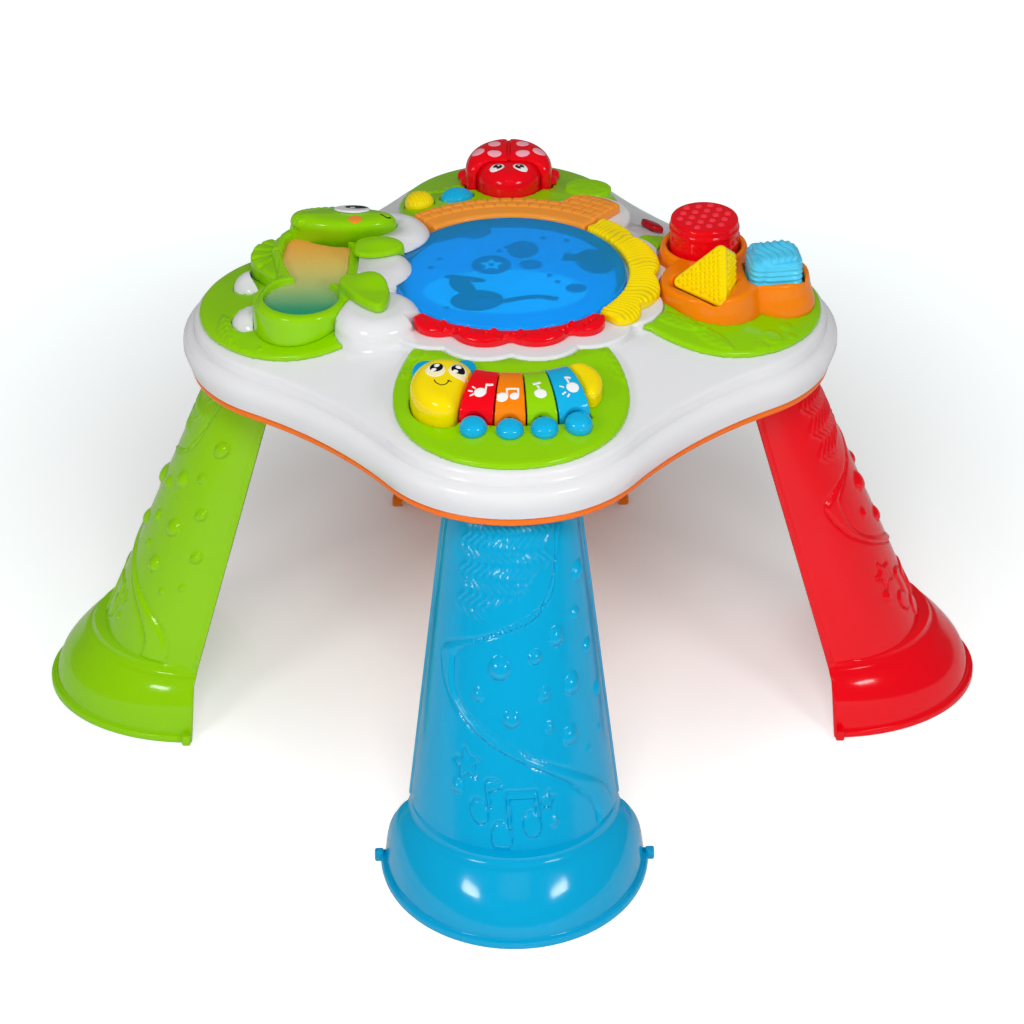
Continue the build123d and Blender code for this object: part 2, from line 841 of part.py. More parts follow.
def sea_figures():
    """Raised sea animals on the disc: fish with forked tails, and round urchins."""
    low = lens_rim - lens_thick - sea_drop + sea_thick
    pieces = []
    for x, y, length, turn in ((-24, -54, 34, 25), (54, -2, 38, 180), (-26, 52, 30, 200)):
        body = oval(0, 0, length / 2, length / 4)
        tail = Pos(-length * 0.55, 0) * Triangle(a=length * 0.4, b=length * 0.32, c=length * 0.32, rotation=-90)
        pieces.append(column(Pos(x, y) * Rot(0, 0, turn) * (body + tail), low, low + 1.5))
    for x, y, radius in ((-14, -8, 14), (10, 14, 15), (22, -62, 8)):
        pieces.append(column(disc(x, y, radius) - disc(x, y, radius * 0.35), low, low + 1.2))
    return Compound(children=pieces)


def light_board():
    """Round board under the drum pad with a ring of diodes."""
    top = hub_top - well_depth - wall
    board = Pos(0, 0, top - board_thick / 2) * Cylinder(lens_radius - 4, board_thick)
    for index in range(8):
        spot = polar(52, index * 45)
        board += column(Pos(spot.X, spot.Y) * Rectangle(5, 5), top, top + 1.6)
    return board


def drum_pads():
    """Rubber domes between the ledge and the drum pad's lip."""
    ledge = hub_top - well_depth
    crown = hub_top - wall - fit_gap - lens_lip_height - drum_travel - pad_gap
    spots = [polar(lens_radius - lens_thick / 2, angle) for angle in (90, 210, 330)]
    return Compound(children=[column(disc(spot.X, spot.Y, 2.2), ledge, crown) for spot in spots])


# ---------------------------------------------------------------- petals
def petal(face, corner_round):
    """Raised tactile piece with rounded ends and a rounded upper edge."""
    solid = column(face, hub_top, petal_top)
    solid = fillet(solid.edges().filter_by(Axis.Z), corner_round)
    return fillet(solid.edges().group_by(Axis.Z)[-1], petal_round)


def petal_red():
    return petal(scalloped(petal_inner, red_valley, red_peak, red_angles), 3.0)


def petal_yellow():
    return petal(scalloped(petal_inner, yellow_valley, yellow_peak, yellow_angles), 3.0)


def petal_orange():
    plain = scalloped(petal_inner, orange_outer, orange_outer, orange_angles)
    bulge = disc(orange_bulge_x, orange_bulge_y, orange_bulge_radius)
    reach = scalloped(petal_inner, 200, 200, orange_angles)
    return petal(plain + (bulge & reach), 2.0)


# ---------------------------------------------------------------- inchworm piano
def body_profile(inset):
    """Section of the inchworm's body: straight skirts under a half ellipse."""
    half = body_half_depth - inset
    crown = Edge.make_ellipse(half, body_height - inset, Plane((fan_reach, 0, 0)), 0, 180)
    skirt = Polyline((fan_reach - half, 0), (fan_reach - half, -body_skirt), (fan_reach + half, -body_skirt),
                     (fan_reach + half, 0))
    return make_face([crown, skirt])


def fan_sweep(profile, low, high):
    """Turn a section about the fan centre between two angles, counted from straight ahead."""
    upright = Rot(90, 0, 0) * profile
    swept = revolve(Rot(0, 0, low - 90) * upright, Axis.Z, high - low)
    return Pos(fan_x, fan_reach) * swept


def fan_spots(reach):
    """A spot on each key's middle line, at a distance from the fan centre."""
    spots = []
    for low, high in zip(key_angles, key_angles[1:]):
        middle = radians((low + high) / 2)
        spots.append((fan_x + reach * sin(middle), fan_reach - reach * cos(middle)))
    return spots


def key(index):
    """One piano key: a hollow cap, an arm and two trunnions."""
    side = degrees(key_gap / 2 / fan_reach)
    low = key_angles[index] + side
    high = key_angles[index + 1] - side
    skin = degrees(key_wall / fan_reach)
    cap = fan_sweep(body_profile(0), low, high)
    hollow = Pos(0, 0, -1) * fan_sweep(body_profile(key_wall), low + skin, high - skin)
    x, y = fan_spots(key_stem_reach)[index]
    hollow -= column(disc(x, y, key_stem_radius), -body_skirt, body_height)
    cap -= hollow
    x, y = fan_spots(foot_ball_reach)[index]
    cap -= column(disc(x, y, foot_ball_radius + 1.2), -body_skirt - 1, foot_ball_height + 4)
    middle = (low + high) / 2
    arm_length = fan_reach - body_half_depth - trunnion_reach + key_wall
    arm = Pos(0, -trunnion_reach - arm_length / 2, -body_skirt + 1.5) * Box(key_arm_width, arm_length, 3)
    barrel = Rot(0, 90, 0) * Cylinder(trunnion_radius, trunnion_length)
    barrel = Pos(0, -trunnion_reach, -body_skirt) * barrel
    hinge = Pos(fan_x, fan_reach) * Rot(0, 0, middle) * (arm + barrel)
    return front_station() * biggest(cap + hinge)


def key_clips():
    """Bearing blocks under the shell for the keys' trunnions."""
    clips = []
    for index in range(4):
        middle = (key_angles[index] + key_angles[index + 1]) / 2
        for side in (-1, 1):
            x = side * (key_arm_width + clip_width + 2 * clip_gap) / 2
            block = Pos(x, -trunnion_reach, -body_skirt + 2) * Box(clip_width, 9, 14)
            bore = Rot(0, 90, 0) * Cylinder(trunnion_radius + trunnion_gap, 10)
            bore = Pos(x, -trunnion_reach, -body_skirt) * bore
            clips.append(Pos(fan_x, fan_reach) * Rot(0, 0, middle) * (block - bore))
    under = shell_form(wall)
    return Compound(children=[biggest((front_station() * clip) & under) for clip in clips])


def inchworm_feet():
    """Blue feet in front of the keys."""
    balls = []
    for x, y in fan_spots(foot_ball_reach):
        ball = pillow(disc(x, y, foot_ball_radius), -4, foot_ball_height, foot_ball_height - 1)
        balls.append(seated(front_station() * ball))
    return Compound(children=balls)


def head_outline(grow):
    """Oval of the head, cut off where the first key begins."""
    full = oval(head_x, head_y, head_rx + grow, head_ry + grow, 12)
    edge_angle = key_angles[0] - degrees((key_gap / 2 - grow) / fan_reach)
    return full - scalloped_free(20, 220, edge_angle, edge_angle + 90)


def inchworm_head():
    face = head_outline(0)
    solid = column(face, -body_skirt, head_height)
    solid = fillet(solid.edges().filter_by(Axis.Z), 6)
    solid = fillet(solid.edges().group_by(Axis.Z)[-1], head_round)
    hollow = column(head_outline(-2 * key_wall), -body_skirt - key_wall, head_height - head_round + key_wall)
    hollow -= column(disc(head_stem_x, head_y, head_stem_radius), -body_skirt, head_height)
    return front_station() * biggest(solid - hollow)


def inchworm_ears():
    """Half discs that stand behind the head."""
    clear = column(head_outline(fit_gap), -20, head_height + 10)
    hub = column(hub_outline(fit_gap), tier_top - 20, petal_top + 10)
    ears = []
    for x, y in ear_spots:
        ear = pillow(disc(x, y, ear_radius), -4, ear_height, 3) - clear
        ears.append(biggest(seated(front_station() * ear) - hub))
    return Compound(children=ears)


def inchworm_tail():
    face = oval(tail_x, tail_y, tail_rx, tail_ry, -20)
    angle = key_angles[-1] + degrees(key_gap / 2 / fan_reach)
    face -= scalloped_free(20, 220, angle - 90, angle)
    solid = column(face, -10, tail_height)
    solid = fillet(solid.edges().filter_by(Axis.Z), 5)
    solid = fillet(solid.edges().group_by(Axis.Z)[-1], tail_round)
    return seated(front_station() * solid)


def key_board_z():
    return plate_height(station_reach) - key_board_drop


def key_board():
    """Board under the keys and the head."""
    width = key_board_spots[3][0] - key_board_spots[0][0] + 2 * post_radius
    depth = key_board_spots[2][1] - key_board_spots[0][1] + 2 * post_radius
    x = (key_board_spots[3][0] + key_board_spots[0][0]) / 2
    y = (key_board_spots[2][1] + key_board_spots[0][1]) / 2
    top = key_board_z()
    return column(Pos(x, y) * Rectangle(width, depth), top - board_thick, top)


def key_pads():
    """Rubber domes on the board, one under each key and one under the head."""
    pads = []
    for x, y in fan_spots(key_stem_reach):
        stem = (front_station() * Pos(x, y, -body_skirt)).position
        tip = (front_station() * Pos(x, y - key_stem_radius, -body_skirt)).position
        pads.append(column(disc(stem.X, stem.Y, pad_radius - 1), key_board_z(), tip.Z - key_travel() - pad_gap))
    stem = (front_station() * Pos(head_stem_x, head_y, -body_skirt)).position
    tip = (front_station() * Pos(head_stem_x, head_y - head_stem_radius, -body_skirt)).position
    pads.append(column(disc(stem.X, stem.Y, pad_radius), key_board_z(), tip.Z - head_travel - pad_gap))
    return Compound(children=pads)


def key_travel():
    """How far the front of a key goes down."""
    return (fan_reach + body_half_depth - trunnion_reach) * tan(radians(key_press))


# ---------------------------------------------------------------- lizard
def panel_outline():
    """Pool and chest of the lizard's panel."""
    pool = disc(panel_pool_x, panel_pool_y, panel_pool_radius)
    chest = make_face(Polyline([Vector(*point) for point in panel_chest], close=True))
    chest = fillet(chest.vertices().sort_by(Axis.Y)[-4:], panel_round)
    return pool + chest


def lizard_crown():
    """Top of the lizard's body."""
    return hub_top + lizard_rise


def lizard_plan(grow):
    """Everything that the lizard covers, seen from above."""
    plan = offset(panel_outline(), lizard_rim + grow)
    return plan + smooth_patch(fin_points, grow) + head_plan(grow)


def lizard_body():
    """Raised body with a recess for the panel, a fin and two limbs."""
    plan = offset(panel_outline(), lizard_rim)
    body = column(plan, tier_top, lizard_crown())
    body = fillet(body.edges().group_by(Axis.Z)[-1], lizard_round)
    body += pillow(smooth_patch(fin_points), tier_top, plate_height(190) + fin_rise, limb_round)
    body = seated(body) - column(hub_outline(fit_gap), tier_top, hub_top)
    limb_top = lens_rim + limb_rise
    for points in (upper_limb, lower_limb):
        limb = pillow(smooth_patch(points), lizard_crown() - limb_depth, limb_top, limb_round)
        for spot in hub_clouds:
            limb -= cloud(*spot, fit_gap / 2)
        body += limb - lens_form(lens_gap)
    body -= column(panel_outline(), lizard_crown() - panel_drop - panel_thick, lizard_crown() + 20)
    body -= column(head_plan(fit_gap / 2), lizard_seat(), lizard_crown() + 30)
    return biggest(body)


def lizard_panel():
    low = lizard_crown() - panel_drop - panel_thick
    solid = column(offset(panel_outline(), -fit_gap / 2), low, low + panel_thick)
    return solid - column(head_plan(fit_gap), lizard_seat(), lizard_crown() + 30)


def head_plan(grow):
    """Head with its low crest, seen from above."""
    plan = oval(lizard_head_x, lizard_head_y, lizard_head_rx + grow, lizard_head_ry + grow, -4)
    for x, y in crest_spots():
        plan += disc(x, y, crest_radius + grow)
    return plan


def crest_spots():
    spots = []
    for index in range(4):
        spot = polar(lizard_head_rx - 6, 128 + index * 17)
        spots.append((lizard_head_x + spot.X, lizard_head_y + spot.Y * 0.62))
    return spots


def lizard_seat():
    return lizard_crown() - 12


def lizard_head():
    """Rounded head with a low crest behind it."""
    crown = lizard_crown() + lizard_head_height
    plain = oval(lizard_head_x, lizard_head_y, lizard_head_rx, lizard_head_ry, -4)
    head = pillow(plain, lizard_seat(), crown, lizard_head_round)
    for index, (x, y) in enumerate(crest_spots()):
        head += pillow(disc(x, y, crest_radius), lizard_seat(), crown - 5 - index * 2, 4)
    head -= column(disc(lizard_eye_x, lizard_eye_y, 5), crown - 6, crown + 1)
    return biggest(seated(head) - column(hub_outline(fit_gap), tier_top, hub_top))


def lizard_eye():
    """Eye disc with a peg into the head."""
    crown = lizard_crown() + lizard_head_height
    eye = pillow(oval(lizard_eye_x, lizard_eye_y, lizard_eye_rx, lizard_eye_ry, -8), crown, crown + 2, 1.2)
    return eye + column(disc(lizard_eye_x, lizard_eye_y, 4.8), crown - 5.5, crown)


# ---------------------------------------------------------------- shape tray and blocks
def tray_top():
    return hub_top + tray_rise


def prism_frame():
    """Frame of the leaning triangular block: its origin in the middle of the upper face."""
    lean = Rotation(prism_tilt_x, 0, 0) * Rotation(0, prism_tilt_y, 0)
    return Pos(prism_x, prism_y, tray_top() + prism_rise) * lean


def prism_form(grow, below, above):
    """Rounded triangle drawn down from the upper face, with a length below and above it for a pocket."""
    face = RegularPolygon(prism_side / sqrt(3) + grow * 2, 3, rotation=60)
    face = fillet(face.vertices(), prism_round + grow)
    return prism_frame() * extrude(lifted(face, -prism_thick - below), amount=prism_thick + below + above)


def cube_form(grow, low, high):
    side = cube_side + 2 * grow
    face = RectangleRounded(side, side, cube_round + grow, rotation=cube_turn)
    return column(Pos(cube_cup[0], cube_cup[1]) * face, low, high)


def cup(spot, low, high):
    """One cup of the tray, wider at its foot."""
    x, y, radius = spot
    foot = Pos(x, y, low) * Circle(radius)
    mouth = Pos(x, y, high) * Circle(radius - 3)
    solid = loft([foot, mouth], ruled=True)
    return fillet(solid.edges().group_by(Axis.Z)[-1], tray_round / 2)


def shape_tray():
    low = plate_height(prism_cup[0]) - plate_thick
    tray = cup(cylinder_cup, low, tray_top()) + cup(prism_cup, low, tray_top()) + cup(cube_cup, low, tray_top())
    tray += column(tray_outline(0), tray_top() - tray_depth - tray_floor, low)
    tray -= column(disc(cylinder_cup[0], cylinder_cup[1], cylinder_radius + stud_height + pocket_gap),
                   tray_top() - tray_depth, tray_top() + 1)
    tray -= cube_form(pocket_gap, tray_top() - tray_depth, tray_top() + 1)
    tray -= prism_form(pocket_gap, fit_gap, cylinder_height)
    return biggest(tray)


def block_cylinder():
    """Round block with studs on its top and its side."""
    x, y, _ = cylinder_cup
    low = tray_top() - tray_depth + fit_gap
    block = column(disc(x, y, cylinder_radius), low, low + cylinder_height)
    return fillet(block.edges().group_by(Axis.Z)[-1], block_round)


def block_cube():
    """Ribbed cube with a soft outline."""
    low = tray_top() - tray_depth + fit_gap
    block = cube_form(0, low, low + cube_side)
    return fillet(block.edges().group_by(Axis.Z)[-1], cube_round - 1)


def block_prism():
    """Triangular block that leans in its pocket."""
    block = prism_form(0, 0, 0)
    upper = [edge for edge in block.edges() if abs((prism_frame().inverse() * edge).center().Z) < 0.01]
    return fillet(upper, 2)


# ---------------------------------------------------------------- ladybird and buttons
def wing_crown():
    return plate_height(wing_y) + wing_height


def ladybird_wings():
    """Two wing cases with a groove between them."""
    low = plate_height(wing_y) - bug_skirt
    solid = column(wing_plan(0), low, wing_crown())
    solid = fillet(solid.edges().filter_by(Axis.Z), 5)
    solid = fillet(solid.edges().group_by(Axis.Z)[-1], wing_round)
    groove = Pos(0, wing_y + wing_radius / 2, wing_crown()) * Box(wing_groove, 1.7 * wing_radius, 5)
    solid -= groove
    return solid - nose_form(fit_gap / 4)


def nose_form(grow):
    low = plate_height(wing_y) - bug_skirt
    crown = plate_height(nose_y - nose_radius) + nose_height + grow
    return pillow(disc(0, nose_y, nose_radius + grow), low - grow, crown, nose_round)


def ladybird_head():
    return nose_form(0)


def ladybird_legs():
    """Feet on the plate beside the wings."""
    clear = column(bug_outline(bug_gap), tier_top - 10, petal_top)
    legs = []
    for x, y in bug_leg_spots:
        foot = pillow(disc(x, y, bug_leg_radius), tier_top - 5, plate_height(y) + bug_leg_height, 4)
        legs.append(biggest(seated(foot - clear)))
    return Compound(children=legs)


def button(face, reach):
    """Round-topped button with a skirt through the plate."""
    crown = plate_height(reach) + button_height
    return pillow(face, crown - button_height - button_skirt, crown, button_round)


def yellow_button():
    return button(yellow_outline(0), yellow_button_spot[1])


def blue_button():
    return button(blue_outline(0), blue_button_spot[1])


def back_board_z():
    return plate_height(nose_y) - back_board_drop


def back_board():
    """Board under the ladybird and the two buttons."""
    plan = Pos(-13, 159) * Rectangle(back_board_width, back_board_depth)
    return column(plan, back_board_z() - board_thick, back_board_z())


def back_pads():
    """Rubber domes under the ladybird and the two buttons."""
    pads = []
    bug_low = plate_height(wing_y) - bug_skirt - bug_travel
    for x, y in ((-15, wing_y), (15, wing_y)):
        pads.append(column(disc(x, y, pad_radius), back_board_z(), bug_low - pad_gap))
    for spot in (yellow_button_spot, blue_button_spot):
        low = plate_height(spot[1]) - button_skirt - button_travel
        pads.append(column(disc(*spot, pad_radius), back_board_z(), low - pad_gap))
    return Compound(children=pads)


def power_switch():
    """Leaf-shaped slide knob with a stem through the saddle."""
    leaf = make_face(
        [
            ThreePointArc((-switch_length / 2, 0), (0, switch_width / 2), (switch_length / 2, 0)),
            ThreePointArc((switch_length / 2, 0), (0, -switch_width / 2), (-switch_length / 2, 0)),
        ]
    )
    knob = extrude(lifted(leaf, 1.2), amount=switch_height)
    knob = fillet(knob.edges().group_by(Axis.Z)[-1], 2)
    knob += Pos(0, 0, -5) * Cylinder(switch_stem / 2, 14)
    return switch_frame() * knob


# ---------------------------------------------------------------- electrics
def battery_box():
    """Tray over the battery opening, open below."""
    width, depth = battery_bay()
    height = 2 * cell_radius + cell_gap + battery_wall
    low = leg_height + cover_thick
    outer = Pos(0, battery_y, low + height / 2) * Box(width, depth, height)
    inner = Box(width - 2 * battery_wall, depth - 2 * battery_wall, height)
    box = outer - Pos(0, battery_y, low + height / 2 - battery_wall) * inner
    rim = Pos(0, battery_y, leg_height + pan_floor + wall / 2) * Box(width + 12, depth + 12, wall)
    rim -= Pos(0, battery_y, leg_height + pan_floor + wall / 2) * Box(width - 1, depth - 1, wall + 2)
    return box + rim


def battery_cover():
    """Screwed lid in the pan's floor."""
    width, depth = battery_bay()
    face = Pos(0, battery_y) * RectangleRounded(width, depth, 2)
    cover = column(face, leg_height, leg_height + cover_thick)
    grip = Pos(0, battery_y - depth / 2 + 8) * SlotOverall(16, 3)
    return cover - column(grip, leg_height - 1, leg_height + 1)


def batteries():
    """Three cells side by side, each with its terminal."""
    cells = []
    pitch = 2 * cell_radius + cell_gap
    inner_top = leg_height + cover_thick + 2 * cell_radius
    for index in range(cell_count):
        x = (index - (cell_count - 1) / 2) * pitch
        turn = 1 if index % 2 else -1
        body = Rot(90, 0, 0) * Cylinder(cell_radius, cell_length - 2)
        nub = Pos(0, turn * (cell_length / 2 - 0.5), 0) * Rot(90, 0, 0) * Cylinder(2.7, 1)
        cells.append(Pos(x, battery_y, inner_top - cell_radius) * (body + nub))
    return Compound(children=cells)


def battery_contacts():
    """Contact plates at both ends of the cells."""
    plates = []
    pitch = 2 * cell_radius + cell_gap
    reach = (cell_length + cell_gap) / 2 - 0.2
    for index in range(cell_count):
        x = (index - (cell_count - 1) / 2) * pitch
        for side in (-1, 1):
            spot = Pos(x, battery_y + side * (reach + 0.35), leg_height + cover_thick + cell_radius + 2)
            plates.append(spot * Box(9, 0.5, 10))
    return Compound(children=plates)


def speaker():
    """Loudspeaker: a rim, a frame and a magnet."""
    low = leg_height + pan_floor
    rim = Pos(0, speaker_y, low + 1.5) * Cylinder(speaker_radius, 3)
    frame = Pos(0, speaker_y, low + 6) * Cone(speaker_radius - 2, speaker_radius * 0.55, 6)
    magnet = Pos(0, speaker_y, low + 9 + (speaker_height - 9) / 2) * Cylinder(speaker_radius * 0.5, speaker_height - 9)
    return rim + frame + magnet


def main_board():
    """Main circuit board on four posts, with its chip and capacitors."""
    low = leg_height + main_board_rise
    board = Pos(0, 0, low + board_thick / 2) * Box(main_board_width, main_board_depth, board_thick)
    board += Pos(-20, 4, low + board_thick + 1) * Box(14, 14, 2)
    board += Pos(16, -6, low + board_thick + 1) * Box(10, 6, 2)
    for x in (34, 42):
        board += Pos(x, 10, low + board_thick + 4) * Cylinder(3, 8)
    return board


# ---------------------------------------------------------------- writing
def write(name, shape):
    export_step(shape, f"parts/{name}.step")


def main():
    os.makedirs("parts", exist_ok=True)
    write("top_shell", top_shell())
    write("base_shell", base_shell())
    for angle, name in lobe_names.items():
        write(f"plate_{name}", plate(angle))
        write(f"leg_{name}", leg(angle))
    write("drum_lens", drum_lens())
    write("sea_disc", sea_disc())
    write("sea_figures", sea_figures())
    write("light_board", light_board())
    write("drum_pads", drum_pads())
    write("petal_red", petal_red())
    write("petal_yellow", petal_yellow())
    write("petal_orange", petal_orange())
    for index, colour in enumerate(("red", "orange", "green", "blue")):
        write(f"key_{colour}", key(index))
    write("key_clips", key_clips())
    write("key_board", key_board())
    write("key_pads", key_pads())
    write("inchworm_head", inchworm_head())
    write("inchworm_ears", inchworm_ears())
    write("inchworm_feet", inchworm_feet())
    write("inchworm_tail", inchworm_tail())
    write("lizard_body", lizard_body())
    write("lizard_panel", lizard_panel())
    write("lizard_head", lizard_head())
    write("lizard_eye", lizard_eye())
    write("shape_tray", shape_tray())
    write("block_cylinder", block_cylinder())
    write("block_prism", block_prism())
    write("block_cube", block_cube())
    write("ladybird_wings", ladybird_wings())
    write("ladybird_head", ladybird_head())
    write("ladybird_legs", ladybird_legs())
    write("yellow_button", yellow_button())
    write("blue_button", blue_button())
    write("back_board", back_board())
    write("back_pads", back_pads())
    write("power_switch", power_switch())
    write("battery_box", battery_box())
    write("battery_cover", battery_cover())
    write("batteries", batteries())
    write("battery_contacts", battery_contacts())
    write("speaker", speaker())
    write("main_board", main_board())
    write("case_screws", case_screws())


if __name__ == "__main__":
    main()
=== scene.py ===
"""Dresses a toddler's musical activity table: moulded shells, relief legs and four play stations.

Lengths are millimetres until a mesh is made. +Z is up and the front lobe points to -Y.
"""

import json
import logging
import math
from collections.abc import Callable
from dataclasses import dataclass
from enum import Enum

import bmesh
import bpy
import numpy as np
from mathutils import Matrix, Vector
from mathutils.bvhtree import BVHTree

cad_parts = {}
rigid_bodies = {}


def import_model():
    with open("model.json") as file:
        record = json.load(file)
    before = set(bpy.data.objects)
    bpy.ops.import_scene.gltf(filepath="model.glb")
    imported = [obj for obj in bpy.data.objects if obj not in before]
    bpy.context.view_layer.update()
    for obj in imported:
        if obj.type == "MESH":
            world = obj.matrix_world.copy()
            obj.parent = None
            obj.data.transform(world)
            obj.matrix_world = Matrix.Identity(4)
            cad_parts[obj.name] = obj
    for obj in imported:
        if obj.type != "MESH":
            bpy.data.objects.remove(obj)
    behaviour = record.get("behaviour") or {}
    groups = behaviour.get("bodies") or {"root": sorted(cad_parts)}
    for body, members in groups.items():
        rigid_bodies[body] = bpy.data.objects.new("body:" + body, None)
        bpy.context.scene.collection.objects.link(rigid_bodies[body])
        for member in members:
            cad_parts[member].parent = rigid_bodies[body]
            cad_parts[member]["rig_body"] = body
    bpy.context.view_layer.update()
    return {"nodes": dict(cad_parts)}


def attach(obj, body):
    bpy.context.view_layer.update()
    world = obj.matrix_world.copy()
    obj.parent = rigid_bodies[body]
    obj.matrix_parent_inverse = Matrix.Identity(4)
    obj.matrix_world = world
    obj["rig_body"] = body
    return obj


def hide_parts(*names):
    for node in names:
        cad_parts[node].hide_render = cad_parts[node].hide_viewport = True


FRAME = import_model()
LOG = logging.getLogger("activity_table")
MM = 0.001
METRE = 1000.0
QUARTER = math.pi / 2
TAU = 2 * math.pi

Array = np.ndarray
Relief = Callable[[Array, Array, Array, Array], Array]
Move = Callable[[Array], Array]


# ---------------------------------------------------------------- shader nodes and finishes
def linear(code: str) -> tuple[float, float, float, float]:
    """Turns a hex colour in sRGB into the linear red, green, blue and alpha that shaders use."""
    channels = [int(code[i : i + 2], 16) / 255 for i in (1, 3, 5)]
    red, green, blue = (c / 12.92 if c <= 0.04045 else ((c + 0.055) / 1.055) ** 2.4 for c in channels)
    return (red, green, blue, 1.0)


def add(
    tree: bpy.types.NodeTree, kind: str, inputs: dict | None = None, **settings: object
) -> bpy.types.Node:
    """Adds one node with its settings, and links or sets its inputs.

    Args:
        tree: The node tree that gets the node.
        kind: The node's type name.
        inputs: Socket name or index to a value, or to the socket that feeds it.
        **settings: Attributes of the node itself.

    Returns:
        The new node.
    """
    node = tree.nodes.new(kind)
    for key, value in settings.items():
        setattr(node, key, value)
    for key, value in (inputs or {}).items():
        if isinstance(value, bpy.types.NodeSocket):
            tree.links.new(value, node.inputs[key])
        else:
            node.inputs[key].default_value = value
    return node


class Shading:
    """Material with a node tree of its own, laid out in its object's coordinates."""

    def __init__(self, name: str) -> None:
        """Starts the material with an empty tree."""
        self.material = bpy.data.materials.new(name)
        self.material.use_nodes = True
        self.tree = self.material.node_tree
        self.tree.nodes.clear()
        self.place = add(self.tree, "ShaderNodeTexCoord").outputs["Object"]

    def noise(self, size: float, detail: float) -> bpy.types.NodeSocket:
        """Noise whose features are as large as a size in mm."""
        inputs = {"Vector": self.place, "Scale": METRE / size, "Detail": detail}
        return add(self.tree, "ShaderNodeTexNoise", inputs).outputs["Fac"]

    def bump(
        self, height: bpy.types.NodeSocket, depth: float, **under: bpy.types.NodeSocket
    ) -> bpy.types.NodeSocket:
        """Normal of a skin whose relief has a depth in mm."""
        return add(
            self.tree, "ShaderNodeBump", {"Height": height, "Distance": depth * MM, **under}
        ).outputs["Normal"]

    def principled(self, inputs: dict) -> bpy.types.Material:
        """Ends the tree in a principled shader with the given inputs."""
        return self.finished(add(self.tree, "ShaderNodeBsdfPrincipled", inputs).outputs["BSDF"])

    def finished(self, surface: bpy.types.NodeSocket) -> bpy.types.Material:
        """Ends the tree and returns its material."""
        add(self.tree, "ShaderNodeOutputMaterial", {"Surface": surface})
        return self.material


@dataclass(frozen=True)
class MouldedPlastic:
    """Injection-moulded plastic out of a polished or etched steel mould.

    A polished mould leaves a wet gloss with a faint long waviness, a soft edge to every reflection, and a
    pigment that is nearly, but not perfectly, even. An etched one adds a fine grain and a wider highlight.

    Attributes:
        name: Material name.
        colour: Main colour, sRGB hex.
        flow: Colour of the slightly denser pigment, sRGB hex.
        roughness: Mean roughness of the skin.
        wave: Depth of the skin's waviness, in mm.
        grain: Depth of the etched grain, in mm.
        metallic: 1 for a plated part.
        glow: Strength of painted light that the skin gives off by itself; no lamp lights it from inside.
    """

    name: str
    colour: str
    flow: str
    roughness: float = 0.2
    wave: float = 0.004
    grain: float = 0.0
    metallic: float = 0.0
    glow: float = 0.0

    def build(self) -> bpy.types.Material:
        """Builds the shader."""
        shading = Shading(self.name)
        pigment = {"Factor": shading.noise(60, 1.0), "A": linear(self.colour), "B": linear(self.flow)}
        shade = add(shading.tree, "ShaderNodeMix", pigment, data_type="RGBA").outputs["Result"]
        rub = {"Value": shading.noise(6, 5.0), "From Min": 0.3, "From Max": 0.7}
        rub |= {"To Min": self.roughness * 0.88, "To Max": self.roughness * 1.15}
        normal = shading.bump(shading.noise(9, 2.0), self.wave)
        if self.grain:
            normal = shading.bump(shading.noise(0.9, 1.0), self.grain, Normal=normal)
        return shading.principled({
            "Base Color": shade,
            "Roughness": add(shading.tree, "ShaderNodeMapRange", rub).outputs["Result"],
            "Normal": normal,
            "Metallic": self.metallic,
            "IOR": 1.4,
            # Painted light: where glow is set, the skin gives off its own colour as light.
            "Emission Color": shade,
            "Emission Strength": self.glow,
        })


@dataclass(frozen=True)
class TintedLens:
    """Polished translucent acrylic, tinted in the mass, with a wet highlight on its crown.

    Attributes:
        name: Material name.
        colour: Tint, sRGB hex.
        body: Share of the light that the pigment scatters back.
    """

    name: str
    colour: str
    body: float

    def build(self) -> bpy.types.Material:
        """Builds the shader."""
        shading = Shading(self.name)
        return shading.principled({
            "Base Color": linear(self.colour),
            "Roughness": 0.05,
            "Normal": shading.bump(shading.noise(14, 2.0), 0.02),
            "IOR": 1.3,
            "Transmission Weight": 1.0 - self.body,
        })


@dataclass(frozen=True)
class GradedPanel:
    """Sprayed acrylic panel whose colour runs along the lizard, under a fine moulded stipple.

    Attributes:
        name: Material name.
        stops: Share along the panel and colour, sRGB hex.
        start: Y of the first stop in mm.
        end: Y of the last stop in mm.
    """

    name: str
    stops: tuple[tuple[float, str], ...]
    start: float
    end: float

    def build(self) -> bpy.types.Material:
        """Builds the shader."""
        shading = Shading(self.name)
        tree = shading.tree
        along = add(tree, "ShaderNodeSeparateXYZ", {"Vector": shading.place}).outputs["Y"]
        span = {"Value": along, "From Min": self.start * MM, "From Max": self.end * MM}
        spray = add(
            tree, "ShaderNodeValToRGB", {"Fac": add(tree, "ShaderNodeMapRange", span).outputs["Result"]}
        )
        spray.color_ramp.interpolation = "B_SPLINE"
        while len(spray.color_ramp.elements) < len(self.stops):
            spray.color_ramp.elements.new(0.5)
        for element, (position, colour) in zip(spray.color_ramp.elements, self.stops):
            element.position, element.color = position, linear(colour)
        pips = add(tree, "ShaderNodeTexVoronoi", {"Vector": shading.place, "Scale": METRE / 1.6})
        return shading.principled({
            "Base Color": spray.outputs["Color"],
            "Roughness": 0.34,
            "Normal": shading.bump(pips.outputs["Distance"], 0.12),
            "IOR": 1.49,
            "Subsurface Weight": 0.12,
            "Subsurface Scale": 0.003,
        })


